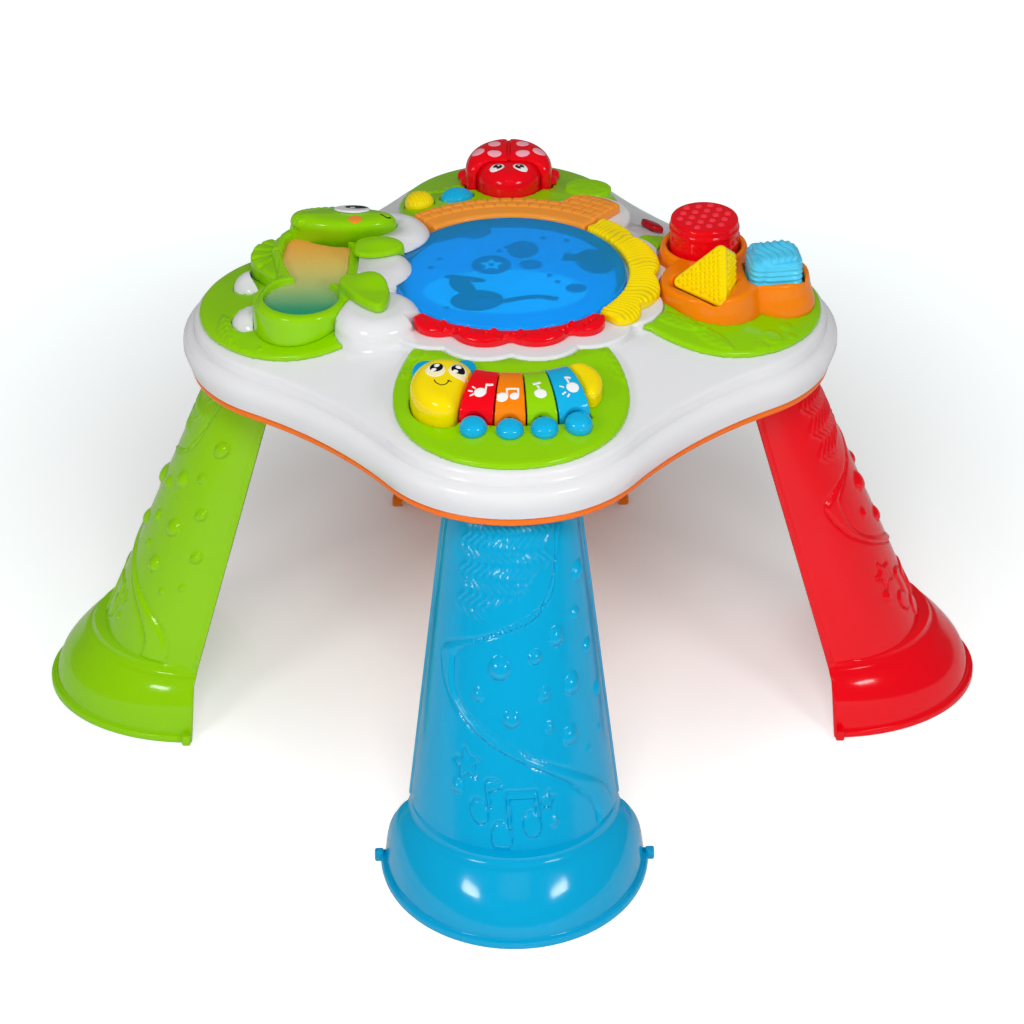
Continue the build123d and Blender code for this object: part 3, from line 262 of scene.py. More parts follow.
class Finish(Enum):
    """The table's finishes."""

    WHITE = MouldedPlastic("white polished ABS", "#EEEEF0", "#EAEAED", 0.14)
    LIME = MouldedPlastic("lime polished ABS", "#96D800", "#90D200", 0.13)
    ORANGE = MouldedPlastic("orange polished ABS", "#FF8A06", "#FC8200", 0.15)
    AMBER = MouldedPlastic("amber polished ABS", "#FFA23A", "#FC9A32", 0.14)
    RIM = MouldedPlastic("orange polypropylene", "#FF7A1C", "#F87214", 0.3)
    RED = MouldedPlastic("red polished ABS", "#F80018", "#F00014", 0.13)
    # RED_PALE is the cylinder's red painted lighter: painted light on its upward studs.
    RED_PALE = MouldedPlastic("red polished ABS stud", "#FF3A4C", "#FA3446", 0.16)
    BLUE = MouldedPlastic("sky blue polished ABS", "#00ACDE", "#00A6D8", 0.12)
    YELLOW = MouldedPlastic("yellow polished ABS", "#FFE600", "#FCDE00", 0.13)
    PALE_BLUE = MouldedPlastic("bright blue polished ABS", "#14B8EA", "#0EB0E4", 0.12)
    SKY = MouldedPlastic("pale sky blue polished ABS", "#5AD6FC", "#50CEF8", 0.13)
    DARK_RED = MouldedPlastic("dark red polished ABS", "#B80018", "#AA0014", 0.2)
    INK = MouldedPlastic("black pad-printed ink", "#0C0C0E", "#111113", 0.3)
    PINK_INK = MouldedPlastic("pink pad-printed ink", "#FFB4C4", "#FCAEBE", 0.3)
    WHITE_INK = MouldedPlastic("white pad-printed ink", "#FAFAF8", "#F6F6F4", 0.3)
    CREAM_INK = MouldedPlastic("cream pad-printed ink", "#FFF6CE", "#FDF2C6", 0.3)
    ORANGE_INK = MouldedPlastic("orange pad-printed ink", "#FF9A30", "#FB9228", 0.3)
    # SEA, SEA_MID and SEA_PALE glow with painted light, in place of the lamp light that does not reach the
    # printed sea under the lens.
    SEA = MouldedPlastic("blue printed polystyrene", "#40C8FF", "#34BCFA", 0.5, glow=0.85)
    SEA_DARK = MouldedPlastic("deep blue printed film", "#003E94", "#00388C", 0.5)
    SEA_MID = MouldedPlastic("mid blue printed film", "#0460B4", "#0258AA", 0.5, glow=0.25)
    SEA_PALE = MouldedPlastic("pale blue printed film", "#90E4FF", "#84DCFC", 0.5, glow=1.2)
    LENS = TintedLens("blue tinted acrylic", "#1CB8EE", 0.4)
    PANEL = GradedPanel(
        "graded sprayed acrylic",
        ((0.0, "#00B088"), (0.12, "#00966A"), (0.22, "#5CAE7C"),
         (0.4, "#B4CC7C"), (0.64, "#EED070"), (0.92, "#FF9E44")),
        -74.0,
        62.0,
    )
    SOLDER_MASK = MouldedPlastic(
        "green solder mask on glass fibre", "#1E5A34", "#184C2B", 0.45, wave=0.0, grain=0.02
    )
    RUBBER = MouldedPlastic("grey moulded silicone", "#8A8C8E", "#808284", 0.62, wave=0.0, grain=0.01)
    INNER = MouldedPlastic("natural moulded polystyrene", "#D4D4D0", "#CBCBC6", 0.4)
    CELL = MouldedPlastic("dark shrink-wrapped cell jacket", "#26262C", "#1E1E24", 0.3)
    STEEL = MouldedPlastic("nickel-plated steel", "#BFC0C3", "#B2B3B7", 0.28, wave=0.0, metallic=1.0)
    SPEAKER = MouldedPlastic(
        "black pressed paper and polypropylene", "#1A1A1C", "#141416", 0.6, wave=0.0, grain=0.03
    )

    def material(self) -> bpy.types.Material:
        """The finish's material, built on first use."""
        return bpy.data.materials.get(self.value.name) or self.value.build()


# ---------------------------------------------------------------- curves and distances in a plane
def polar(radius: float, angle: float) -> Array:
    """Point in plan at a radius and an angle in degrees from +X."""
    return np.array([radius * math.cos(math.radians(angle)), radius * math.sin(math.radians(angle))])


def ellipse(x: float, y: float, rx: float, ry: float, turn: float = 0.0, count: int = 96) -> Array:
    """Anticlockwise ellipse in plan, its axes turned by an angle in degrees."""
    t = np.linspace(0, TAU, count, endpoint=False)
    c, s = math.cos(math.radians(turn)), math.sin(math.radians(turn))
    u, v = rx * np.cos(t), ry * np.sin(t)
    return np.column_stack([x + c * u - s * v, y + s * u + c * v])


def smooth_path(points: list | tuple, steps: int, closed: bool = False) -> Array:
    """Runs a Catmull-Rom curve through points.

    Args:
        points: Points in two or more dimensions.
        steps: Samples in each span.
        closed: True for a loop.

    Returns:
        The samples, one row each.
    """
    knots = np.asarray(points, float)
    count = len(knots)
    t = np.linspace(0, 1, steps, endpoint=False)[:, None]
    out = []
    for span in range(count if closed else count - 1):
        near = range(span - 1, span + 3)
        p0, p1, p2, p3 = (knots[k % count if closed else min(max(k, 0), count - 1)] for k in near)
        out.append(
            0.5 * (2 * p1 + (p2 - p0) * t + (2 * p0 - 5 * p1 + 4 * p2 - p3) * t**2
                   + (3 * p1 - p0 - 3 * p2 + p3) * t**3)
        )
    return np.vstack(out if closed else [*out, knots[-1:]])


def star(x: float, y: float, reach: float, turn: float = 0.0, waist: float = 0.5) -> Array:
    """Five-pointed star with softened tips, anticlockwise."""
    corners = [polar(reach if step % 2 == 0 else reach * waist, 90 + turn + 36 * step) for step in range(10)]
    return smooth_path([(x + c[0], y + c[1]) for c in corners], 4, closed=True)


def stroke(start: tuple, end: tuple, width: float) -> Array:
    """Anticlockwise outline of a straight stroke with square ends."""
    a, b = np.array(start, float), np.array(end, float)
    side = np.array([a[1] - b[1], b[0] - a[0]])
    side *= width / 2 / np.linalg.norm(side)
    return np.array([a - side, b - side, b + side, a + side])


def distance_to(path: Array, spots: Array) -> Array:
    """Distance from each spot to the nearest point of an open path, one row for each corner."""
    best = np.full(len(spots), 1e9)
    for start, end in zip(path, path[1:]):
        run = end - start
        size = float(run @ run) or 1e-12
        share = np.clip(((spots - start) @ run) / size, 0, 1)
        best = np.minimum(best, np.linalg.norm(spots - start - share[:, None] * run, axis=1))
    return best


def depth_in(path: Array, spots: Array) -> Array:
    """Distance of each spot inside a closed path, negative outside it."""
    inside = np.zeros(len(spots), bool)
    x, y = spots[:, 0], spots[:, 1]
    for (x0, y0), (x1, y1) in zip(path, np.roll(path, -1, axis=0)):
        crosses = (y0 > y) != (y1 > y)
        with np.errstate(divide="ignore", invalid="ignore"):
            at = x0 + (y - y0) * (x1 - x0) / (y1 - y0)
        inside ^= crosses & (x < at)
    reach = distance_to(np.vstack([path, path[:1]]), spots)
    return np.where(inside, reach, -reach)


def ridge(distance: Array, width: float, height: float) -> Array:
    """Rounded ridge of a width and height along a line at the given distances."""
    share = np.clip(distance / (width / 2), 0, 1)
    return height * (1 - share**2) ** 2


def ramp(value: Array, low: float, high: float) -> Array:
    """Straight rise from 0 at one value to 1 at another."""
    return np.clip((value - low) / (high - low), 0, 1)


# ---------------------------------------------------------------- meshes
def level(plan: Array, z: float | Array) -> Array:
    """Lifts points of a plan to a height."""
    return np.column_stack([plan, np.broadcast_to(z, len(plan))])


def grid_faces(rows: int, cols: int, wrap: bool) -> list[list[int]]:
    """Quads between rows of points.

    Args:
        rows: Number of rows.
        cols: Points in a row.
        wrap: True if each row closes on itself.

    Returns:
        Faces that point outwards where a row runs anticlockwise and the next row lies above it.
    """
    r, c = np.meshgrid(np.arange(rows - 1), np.arange(cols if wrap else cols - 1), indexing="ij")
    a, b = r * cols + c, r * cols + (c + 1) % cols
    return np.stack([a, b, b + cols, a + cols], axis=-1).reshape(-1, 4).tolist()


def linked(name: str, mesh: bpy.types.Mesh) -> bpy.types.Object:
    """Makes an object of a mesh and links it to the scene."""
    piece = bpy.data.objects.new(name, mesh)
    bpy.context.scene.collection.objects.link(piece)
    return piece


def shaded(mesh: bpy.types.Mesh, finish: Finish, sharp: float | None = None) -> None:
    """Gives a mesh its one material, and smooth shading except at edges above an angle in degrees."""
    mesh.materials.clear()
    mesh.materials.append(finish.material())
    mesh.shade_smooth()
    if sharp is not None:
        mesh.set_sharp_from_angle(angle=math.radians(sharp))


class Body:
    """Points and faces that are gathered into one mesh."""

    def __init__(self, *lofts: list) -> None:
        """Starts with closed lofts through lists of rows, or with nothing."""
        self.points: list = []
        self.faces: list = []
        for rows in lofts:
            self.loft(rows, low_cap=True)

    def add(self, points: Array, faces: list) -> None:
        """Adds points in mm and the faces that use them, counted from 0.

        Args:
            points: One row of x, y, z for each point.
            faces: Rows of indices into these points.
        """
        first = len(self.points)
        self.points.extend(np.asarray(points, float).tolist())
        self.faces.extend([tuple(first + i for i in face) for face in faces])

    def loft(self, rows: list, low_cap: bool = False) -> None:
        """Joins closed rows of points with quads, and closes the last row with one face.

        Args:
            rows: Rows with the same number of points.
            low_cap: True to close the first row too.
        """
        cols = len(rows[0])
        faces = grid_faces(len(rows), cols, True)
        if low_cap:
            faces.append(range(cols - 1, -1, -1))
        faces.append(range((len(rows) - 1) * cols, len(rows) * cols))
        self.add(np.vstack(rows), faces)

    def finish(self, name: str, finish: Finish, sharp: float = 40.0) -> bpy.types.Object:
        """Makes the object.

        Args:
            name: The object's name.
            finish: Its finish.
            sharp: Angle in degrees above which an edge stays sharp.

        Returns:
            The object, linked to the scene, with its place in its mesh.
        """
        mesh = bpy.data.meshes.new(name)
        mesh.from_pydata((np.asarray(self.points) * MM).tolist(), [], self.faces)
        shaded(mesh, finish, sharp)
        return linked(name, mesh)


def rounded_box(centre: tuple, half: tuple, edge: float) -> Body:
    """Box with rounded edges.

    Args:
        centre: Its middle in mm.
        half: Half its size along x, y and z.
        edge: Radius of its edges.

    Returns:
        The closed form.
    """
    x, y = half[0] - edge, half[1] - edge
    core = np.repeat(np.array([(x, y), (-x, y), (-x, -y), (x, -y)]), 5, axis=0)
    plan = np.array([core[5 * q] + polar(edge, 90 * q + step * 22.5) for q in range(4) for step in range(5)])
    rows = []
    for turn in np.linspace(-90, 90, 10):
        shrink = math.cos(math.radians(turn))
        lift = math.copysign(half[2] - edge, turn) + edge * math.sin(math.radians(turn))
        rows.append(level(core + (plan - core) * shrink + np.array(centre[:2]), centre[2] + lift))
    return Body(rows)


def node_copy(node: str) -> bpy.types.Object:
    """Copies a CAD node and joins its loose triangles."""
    mesh = FRAME["nodes"][node].data.copy()
    form = bmesh.new()
    form.from_mesh(mesh)
    bmesh.ops.remove_doubles(form, verts=form.verts, dist=1e-6)
    form.to_mesh(mesh)
    form.free()
    return linked(f"{node}_moulding", mesh)


def seat(piece: bpy.types.Object, *nodes: str) -> None:
    """Lets a finished piece ride on the body of its CAD nodes and stand for them."""
    body = FRAME["nodes"][nodes[0]]["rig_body"]
    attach(piece, body)
    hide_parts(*nodes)
    LOG.info("%s rides on %s for %s", piece.name, body, ", ".join(nodes))


def joined(name: str, pieces: list[bpy.types.Object]) -> bpy.types.Object:
    """Joins pieces into one mesh that keeps every material.

    Args:
        name: Name of the result.
        pieces: Pieces that end in it.

    Returns:
        The joined object.
    """
    with bpy.context.temp_override(active_object=pieces[0], selected_editable_objects=pieces):
        bpy.ops.object.join()
    pieces[0].name = pieces[0].data.name = name
    return pieces[0]


# ---------------------------------------------------------------- pieces whose moulded shape is already right
class Dressing:
    """CAD nodes that keep their shape and get their finish."""

    SHARP = 32.0
    NODES = (
        (Finish.RIM, "base_shell"),
        (Finish.SOLDER_MASK, "light_board", "key_board", "back_board", "main_board"),
        (Finish.RUBBER, "drum_pads", "key_pads", "back_pads"),
        (Finish.WHITE, "key_clips"),
        (Finish.INNER, "battery_box"),
        (Finish.RIM, "battery_cover"),
        (Finish.CELL, "batteries"),
        (Finish.STEEL, "battery_contacts"),
        (Finish.SPEAKER, "speaker"),
        (Finish.STEEL, "case_screws"),
        (Finish.WHITE, "top_shell"),
        (Finish.LENS, "drum_lens"),
    )

    def build(self) -> None:
        """Dresses every node."""
        for finish, *nodes in self.NODES:
            for node in nodes:
                piece = node_copy(node)
                shaded(piece.data, finish, self.SHARP)
                seat(piece, node)


# ---------------------------------------------------------------- legs
CONE_HALF, CONE_TAPER = 84.4, 0.129


def half_width(z: float | Array) -> float | Array:
    """Half width of a leg's cone at a height above the floor."""
    return CONE_HALF - CONE_TAPER * z


class LegRelief:
    """Ornament on a leg's skin: a winding ribbon, combed waves, bubbles, stars and notes.

    Places are an angle from the leg's centre line in degrees and a height above the floor in mm. Each
    bubble also has its radius. WAVE_PITCH is the angle from one combed wave to the next, WAVE_LENGTH the
    height of one full wave and WAVE_SWING how far it leans to either side, in degrees.
    """

    RIBBON_OUTER = (
        (47, 290), (44, 272.3), (39.7, 256.6), (34.3, 241.2), (26.1, 226.4), (16.8, 214.5), (-3.8, 206),
        (-31.2, 196.4), (-53.8, 186.5), (-58.4, 179.1), (-54.3, 165.9), (-45.7, 152.4), (-30.6, 138.8),
        (-13.3, 126.8), (5.5, 115.8), (24.2, 104), (40.4, 89.3), (52.5, 69.8), (52.4, 50),
    )
    RIBBON_INNER = (
        (41, 290), (38.5, 262), (35, 240), (29.8, 226.4), (17.8, 218.2), (-14.7, 203.2), (-40.9, 187.4),
        (-45.3, 178.3), (-42.6, 160), (-32.8, 146.5), (-13.3, 133.4), (1.9, 124.4), (18.8, 114.3),
        (36.9, 102.7), (58.1, 86.2), (68, 70), (72, 50),
    )
    BUBBLES = (
        (-9.7, 181, 8.0), (14.9, 188, 5.2), (32, 199, 6.6), (52, 208, 4.2), (60.6, 234.5, 6.8),
        (-24, 161, 4.4), (-1.5, 146.5, 6.2), (20.3, 161.5, 4.8), (42.3, 162.5, 7.0), (61.8, 180.4, 5.2),
        (23, 138.5, 3.8), (37.2, 128.5, 6.4), (68.5, 146, 5.0), (52, 111.5, 2.6), (65.5, 119.5, 2.6),
        (-35.5, 94, 4.6), (22.7, 73, 3.4),
    )
    FIRST_WAVE, WAVE_PITCH, WAVE_LENGTH, WAVE_SWING = -42, 6.0, 20.5, 4.5
    WAVE_FEET = ((-42, -27, -8, 15, 28), (213, 209, 223, 232, 251))
    RIBBON_RISE, RIBBON_EDGE, WAVE_RISE, MUSIC_RISE, MUSIC_EDGE = 1.7, 3.2, 1.1, 1.3, 1.1

    def ornament(self, arc: Array, half: Array, z: Array) -> Array:
        """Height of the ornament over the plain skin.

        Args:
            arc: Distance round the leg from its centre line, in mm.
            half: The leg's half width there, in mm.
            z: Height above the floor, in mm.

        Returns:
            One height for each place, in mm.
        """
        spots = np.column_stack([arc, z])
        edges = (self.RIBBON_OUTER, self.RIBBON_INNER)
        outer, inner = (
            smooth_path([(math.radians(a) * half_width(h), h) for a, h in edge], 6) for edge in edges
        )
        depth = depth_in(np.vstack([outer, inner[::-1]]), spots)
        rise = self.RIBBON_RISE * np.sin(np.clip(depth / self.RIBBON_EDGE, 0, 1) * QUARTER)
        for edge, width, groove in ((outer, 1.3, 1.0), (inner, 1.2, 0.8)):
            rise -= groove * np.exp(-((distance_to(edge, spots) / width) ** 2)) * (depth <= 0)
        rise += self.waves(arc / (math.pi / 180 * half), half, z)
        for angle, height, radius in self.BUBBLES:
            centre = np.array([math.radians(angle) * half_width(height), height])
            share = np.clip(1 - (np.linalg.norm(spots - centre, axis=1) / radius) ** 2, 0, 1)
            rise += 0.55 * radius * share**0.62
        return rise + self.music(spots)

    def waves(self, angle: Array, half: Array, z: Array) -> Array:
        """Combed wavy ridges on the upper left of the leg."""
        lane = angle - self.WAVE_SWING * np.sin(TAU * z / self.WAVE_LENGTH) - self.FIRST_WAVE
        nearest = np.clip(np.round(lane / self.WAVE_PITCH), 0, 12) * self.WAVE_PITCH
        off = (lane - nearest) * math.pi / 180 * half
        fade = np.clip((z - np.interp(nearest + self.FIRST_WAVE, *self.WAVE_FEET)) / 6, 0, 1)
        return self.WAVE_RISE * fade * np.exp(-np.abs(off / 1.25) ** 2.2)

    def music(self, spots: Array) -> Array:
        """Outlined stars and notes near the foot."""
        rise, groove = np.zeros(len(spots)), np.zeros(len(spots))
        for shape in (
            star(-36.5, 110.5, 11.5, 10), star(24.5, 88, 6.8, -8),
            ellipse(-26.5, 80.5, 6.6, 8.6, 20), stroke((-18.4, 84), (-20.5, 101), 2.4),
            smooth_path([(-21.5, 102), (-15, 104), (-8.5, 99.4), (-14, 97.4), (-20, 95)], 4, closed=True),
            ellipse(-9.5, 64, 7.6, 11, 8), ellipse(13, 73, 6.6, 9, 12), stroke((-3.4, 70), (-5.0, 94), 2.6),
            stroke((18.2, 78), (15.4, 95), 2.6), stroke((-6.0, 93.8), (16.6, 93.8), 4.6),
        ):
            depth = depth_in(shape, spots)
            rise = np.maximum(
                rise, self.MUSIC_RISE * np.sin(np.clip(depth / self.MUSIC_EDGE, 0, 1) * QUARTER)
            )
            groove = np.maximum(groove, 0.9 * np.exp(-((depth / 1.2) ** 2)) * (depth <= 0))
        return np.where(rise > 0.05, rise, -groove)


@dataclass
class Leg:
    """Open half-shell leg on a wide foot, turned to its lobe.

    NECK is the height at which the foot has become the leg, HEIGHTS are those of the rows above it, and
    TURNS are the angles of the outside's points from the centre line, closer together where the ornament
    is. PLANE is the open plane's distance from the table's axis at the floor and LEAN how much nearer it is
    for each mm of height, and CONE_PLANE and CONE_LEAN are the same above FOOT_TOP. FOOT and SHOULDER give
    height, half width and depth.

    Attributes:
        angle: Direction of its lobe in degrees.
        name: Name of its side.
        finish: Its finish.
        tabs: Whether the foot has its two side tabs.
    """

    angle: float
    name: str
    finish: Finish
    tabs: bool = True

    NECK, WALL, RAIL = 56.0, 3.0, 7.0
    PLANE, LEAN, FOOT_TOP, CONE_PLANE, CONE_LEAN = 252.5, 0.0595, 42, 262.1, 0.288
    TAB_PLACE, TAB_HALF, TAB_EDGE = (101.6, -255.6, 4.4), (3.4, 3.4, 4.4), 1.6
    HEIGHTS = np.linspace(NECK, 286.0, 166)
    SHARES = np.linspace(-1, 1, 220)
    TURNS = QUARTER * (0.9 * SHARES + 0.1 * SHARES**5)
    FOOT = (
        (0.0, 99.7, 115.6), (0.5, 100.3, 116.2), (1.4, 100.5, 116.4), (4.4, 100.5, 116.4),
        (5.3, 100.2, 116.1), (5.8, 99.5, 115.3), (5.9, 98.7, 114.3), (5.4, 98.1, 113.5), (5.6, 97.5, 112.7),
    )
    SHOULDER = (
        (6.6, 96.9, 111.8), (9.5, 96.6, 111.2), (16, 95.8, 109.4), (24, 94.6, 105.8), (31, 92.8, 100.8),
        (37, 90.2, 95.6), (42, 87.0, 91.0), (45.6, 84.0, 87.6), (47.6, 81.9, 85.4), (48.6, 80.2, 83.4),
        (50.2, 78.9, 81.4), (52.6, 78.1, 79.9), (56, 77.18, 78.9),
    )

    def plane(self, z: float) -> float:
        """Distance of the open plane from the axis at a height."""
        return self.PLANE - self.LEAN * z if z < self.FOOT_TOP else self.CONE_PLANE - self.CONE_LEAN * z

    def section(self, z: float, half: float, depth: float, rise: Array | float) -> Array:
        """One closed section: the ornamented outside, a rounded rail at either edge and the plain inside."""
        inner = np.linspace(math.radians(84), -math.radians(84), 36)
        outside, inside = (
            np.column_stack([(half + out) * np.sin(turns), -(self.plane(z) + (depth + out) * np.cos(turns))])
            for turns, out in ((self.TURNS, rise), (inner, -self.WALL))
        )
        x, y, back = half, -self.plane(z), half - self.RAIL
        right = [(x - 0.5, y + 0.7), (x - 1.4, y + 1.1), (back, y + 1.1), (back - 0.8, y + 0.2),
                 (back - 0.8, y - 1.6), (back, y - 2.4)]
        left = [(-px, py) for px, py in reversed(right)]
        return level(np.vstack([outside, right, inside, left]), z)

    def build(self, relief: Array) -> None:
        """Makes the leg.

        Args:
            relief: Height of the ornament, one row of heights for each row above the neck.
        """
        rows = []
        for z, half, depth in (*self.FOOT, *smooth_path(self.SHOULDER, 4)[:-1]):
            rows.append(self.section(z, half, self.PLANE + depth - self.plane(z), 0.0))
        for z, rise in zip(self.HEIGHTS, relief):
            half = half_width(z)
            edge = np.clip(1 - (QUARTER - np.abs(self.TURNS)) * half / 4.5, 0, 1)
            bead = 1.3 * np.sin(np.clip(edge * 2, 0, 1) * QUARTER)
            rows.append(self.section(z, half, half, rise + bead))
        form = Body(rows)
        for side in (-1, 1) if self.tabs else ():
            x, y, z = self.TAB_PLACE
            tab = rounded_box((side * x, y, z), self.TAB_HALF, self.TAB_EDGE)
            form.add(tab.points, tab.faces)
        (c, s), node = polar(1.0, self.angle + 90), f"leg_{self.name}"
        form.points = (np.array(form.points) @ np.array([[c, s, 0], [-s, c, 0], [0, 0, 1]])).tolist()
        seat(form.finish(f"{node}_moulding", self.finish, 38), node)


class Legs:
    """The four legs, which share one ornament."""

    def build(self) -> None:
        """Builds the legs."""
        z, turns = np.meshgrid(Leg.HEIGHTS, Leg.TURNS, indexing="ij")
        half = half_width(z)
        rise = LegRelief().ornament((turns * half).ravel(), half.ravel(), z.ravel())
        relief = rise.reshape(z.shape) * np.clip((z - Leg.NECK) / 3, 0, 1)
        for leg in (
            Leg(-90, "front", Finish.BLUE),
            Leg(0, "right", Finish.RED),
            Leg(90, "back", Finish.ORANGE, tabs=False),
            Leg(180, "left", Finish.LIME),
        ):
            leg.build(relief)


# ---------------------------------------------------------------- softened mouldings, prints and studs
def baked(piece: bpy.types.Object) -> None:
    """Replaces a piece's mesh by what its modifiers make of it, and removes them."""
    mesh = bpy.data.meshes.new_from_object(piece.evaluated_get(bpy.context.evaluated_depsgraph_get()))
    piece.modifiers.clear()
    piece.data = mesh
    mesh.name = piece.name


def vectors_of(mesh: bpy.types.Mesh, source: str = "vertices", kind: str = "co") -> Array:
    """Reads a vector of every vertex, one row each."""
    rows = np.empty(len(getattr(mesh, source)) * 3, np.float32)
    getattr(mesh, source).foreach_get(kind, rows)
    return rows.reshape(-1, 3).astype(float)


def reshaped(piece: bpy.types.Object, move: Move) -> None:
    """Moves a piece's points in mm by a function of where they are."""
    points = vectors_of(piece.data) / MM
    piece.data.vertices.foreach_set("co", ((points + move(points)) * MM).astype(np.float32).ravel())
    piece.data.update()


def softened(
    node: str,
    finish: Finish,
    grain: float,
    passes: int,
    relief: Relief | None = None,
    move: Move | None = None,
) -> bpy.types.Object:
    """Copies a CAD node on an even fine grid, so that its edges round off and it can carry a relief.

    Args:
        node: The node that the copy stands for.
        finish: Its finish.
        grain: Size of the grid in mm.
        passes: How often its points are averaged with their neighbours.
        relief: Gives a height along the surface for x, y and z in mm and the upward part of the normal.
        move: Gives the way each point moves after that, one row each.

    Returns:
        The copy, not yet seated.
    """
    piece = node_copy(node)
    grid = piece.modifiers.new("grid", "REMESH")
    grid.mode, grid.voxel_size, grid.use_smooth_shade = "VOXEL", grain * MM, True
    even = piece.modifiers.new("even", "SMOOTH")
    even.factor, even.iterations = 0.5, passes
    baked(piece)
    if relief is not None:
        normals = vectors_of(piece.data, "vertex_normals", "vector")
        reshaped(piece, lambda points: normals * relief(*points.T, normals[:, 2])[:, None])
    if move is not None:
        reshaped(piece, move)
    shaded(piece.data, finish)
    return piece


def moulded(node: str, *options: object) -> None:
    """Softens a CAD node and seats the copy in its place."""
    seat(softened(node, *options), node)


def offsets(points: Array, x: object = 0.0, y: object = 0.0, z: object = 0.0) -> Array:
    """One move for every point, out of what is given for each axis."""
    return np.column_stack([np.broadcast_to(part, len(points)) for part in (x, y, z)])


def upward(up: Array, gain: float = 1.0, less: float = 0.0) -> Array:
    """Tells by 0 to 1 how far a surface looks up."""
    return np.clip(up * gain - less, 0, 1)


def ball(reach: Array, radius: float) -> Array:
    """Height of a half ball at distances from its middle, as a share of its radius."""
    return np.sqrt(np.clip(1 - (reach / radius) ** 2, 0, 1))


def skin_of(piece: bpy.types.Object) -> BVHTree:
    """Search tree over a piece's surface."""
    return BVHTree.FromPolygons(
        [v.co for v in piece.data.vertices], [p.vertices for p in piece.data.polygons]
    )


@dataclass
class Print:
    """Pad prints laid on a moulding, seen from above.

    Attributes:
        target: The moulding.
        lift: Thickness of the ink film in mm.
    """

    target: bpy.types.Object
    lift: float = 0.1

    CEILING, SINK = 460.0, -0.3

    def __post_init__(self) -> None:
        """Reads the surface and starts an empty sheet for each ink."""
        self.skin = skin_of(self.target)
        self.sheets: dict[Finish, Body] = {}
        self.last = 350.0

    def height(self, plan: Array, lift: float) -> Array:
        """Points of a plan laid on the surface, lifted by a height."""
        rows = []
        for x, y in plan:
            hit = self.skin.ray_cast(Vector((x * MM, y * MM, self.CEILING * MM)), Vector((0, 0, -1)))[0]
            self.last = hit.z / MM if hit is not None else self.last
            rows.append((x, y, self.last + lift))
        return np.array(rows)

    def patch(self, ink: Finish, outline: Array, layer: int = 1, rings: int = 7) -> None:
        """Lays a filled star-shaped patch.

        Args:
            ink: The ink.
            outline: Closed anticlockwise plan.
            layer: 1 for ink on plastic, 2 for ink on the first ink, and so on.
            rings: Rows from the outline to the middle.
        """
        centre = outline.mean(axis=0)
        rows = [self.height(outline, self.SINK)]
        for share in np.linspace(1, 0.02, rings):
            rows.append(self.height(centre + (outline - centre) * share, self.lift * layer))
        self.sheets.setdefault(ink, Body()).loft(rows)

    def line(self, ink: Finish, path: list, width: float, layer: int = 1) -> None:
        """Lays a line of even width through points."""
        run = smooth_path(path, 6) if len(path) > 2 else np.linspace(path[0], path[1], 6)
        ahead = np.gradient(run, axis=0)
        side = (np.column_stack([-ahead[:, 1], ahead[:, 0]])
                / np.linalg.norm(ahead, axis=1)[:, None] * width / 2)
        top = self.lift * layer
        rows = [self.height(run + side * share, lift)
                for share, lift in ((-1, self.SINK), (-1, top), (0, top), (1, top), (1, self.SINK))]
        self.sheets.setdefault(ink, Body()).add(np.vstack(rows[::-1]), grid_faces(len(rows), len(run), False))

    def fix(self, *nodes: str) -> None:
        """Joins the inks to the moulding, each with its material, and seats it in place of its nodes."""
        films = [sheet.finish(f"film_{ink.name}", ink, 180) for ink, sheet in self.sheets.items()]
        seat(joined(self.target.name, [self.target, *films]), *nodes)


@dataclass
class StudField:
    """Moulded studs of one shape, set out on a surface with geometry nodes.

    Attributes:
        stud: Closed form of one stud about its foot, in mm, pointing up.
        finish: Its finish.
    """

    stud: Body
    finish: Finish

    def tree(self) -> tuple[bpy.types.NodeTree, str]:
        """Builds the node tree and returns it with the identifier of its stud input."""
        tree = bpy.data.node_groups.new("studs on points", "GeometryNodeTree")
        face = tree.interface
        face.new_socket("Spots", in_out="INPUT", socket_type="NodeSocketGeometry")
        stud = face.new_socket("Stud", in_out="INPUT", socket_type="NodeSocketObject")
        face.new_socket("Studs", in_out="OUTPUT", socket_type="NodeSocketGeometry")
        given = add(tree, "NodeGroupInput")
        shape = add(tree, "GeometryNodeObjectInfo", {"Object": given.outputs["Stud"]})
        lean = add(tree, "GeometryNodeInputNamedAttribute", {"Name": "lean"}, data_type="FLOAT_VECTOR")
        turn = add(tree, "FunctionNodeAlignRotationToVector", {"Vector": lean.outputs["Attribute"]}, axis="Z")
        spread = {"Points": given.outputs["Spots"], "Instance": shape.outputs["Geometry"]}
        spread["Rotation"] = turn.outputs["Rotation"]
        studs = add(tree, "GeometryNodeInstanceOnPoints", spread).outputs["Instances"]
        real = add(tree, "GeometryNodeRealizeInstances", {"Geometry": studs}).outputs["Geometry"]
        skin = add(tree, "GeometryNodeSetMaterial", {"Geometry": real, "Material": self.finish.material()})
        add(tree, "NodeGroupOutput", {"Studs": skin.outputs["Geometry"]})
        return tree, stud.identifier

    def set_out(self, places: list, leans: list) -> bpy.types.Object:
        """Sets a stud on every place.

        Args:
            places: Feet of the studs in mm.
            leans: The way each one points.

        Returns:
            All studs as one plain mesh.
        """
        mesh = bpy.data.meshes.new("stud_spots")
        mesh.from_pydata((np.array(places) * MM).tolist(), [], [])
        lean = mesh.attributes.new("lean", "FLOAT_VECTOR", "POINT")
        lean.data.foreach_set("vector", np.array(leans, np.float32).ravel())
        piece = linked("studs", mesh)
        shape = self.stud.finish("stud_shape", self.finish, 30)
        change = piece.modifiers.new("studs", "NODES")
        change.node_group, stud_input = self.tree()
        change[stud_input] = shape
        baked(piece)
        bpy.data.objects.remove(shape)
        return piece


STUD_SINK = 0.6


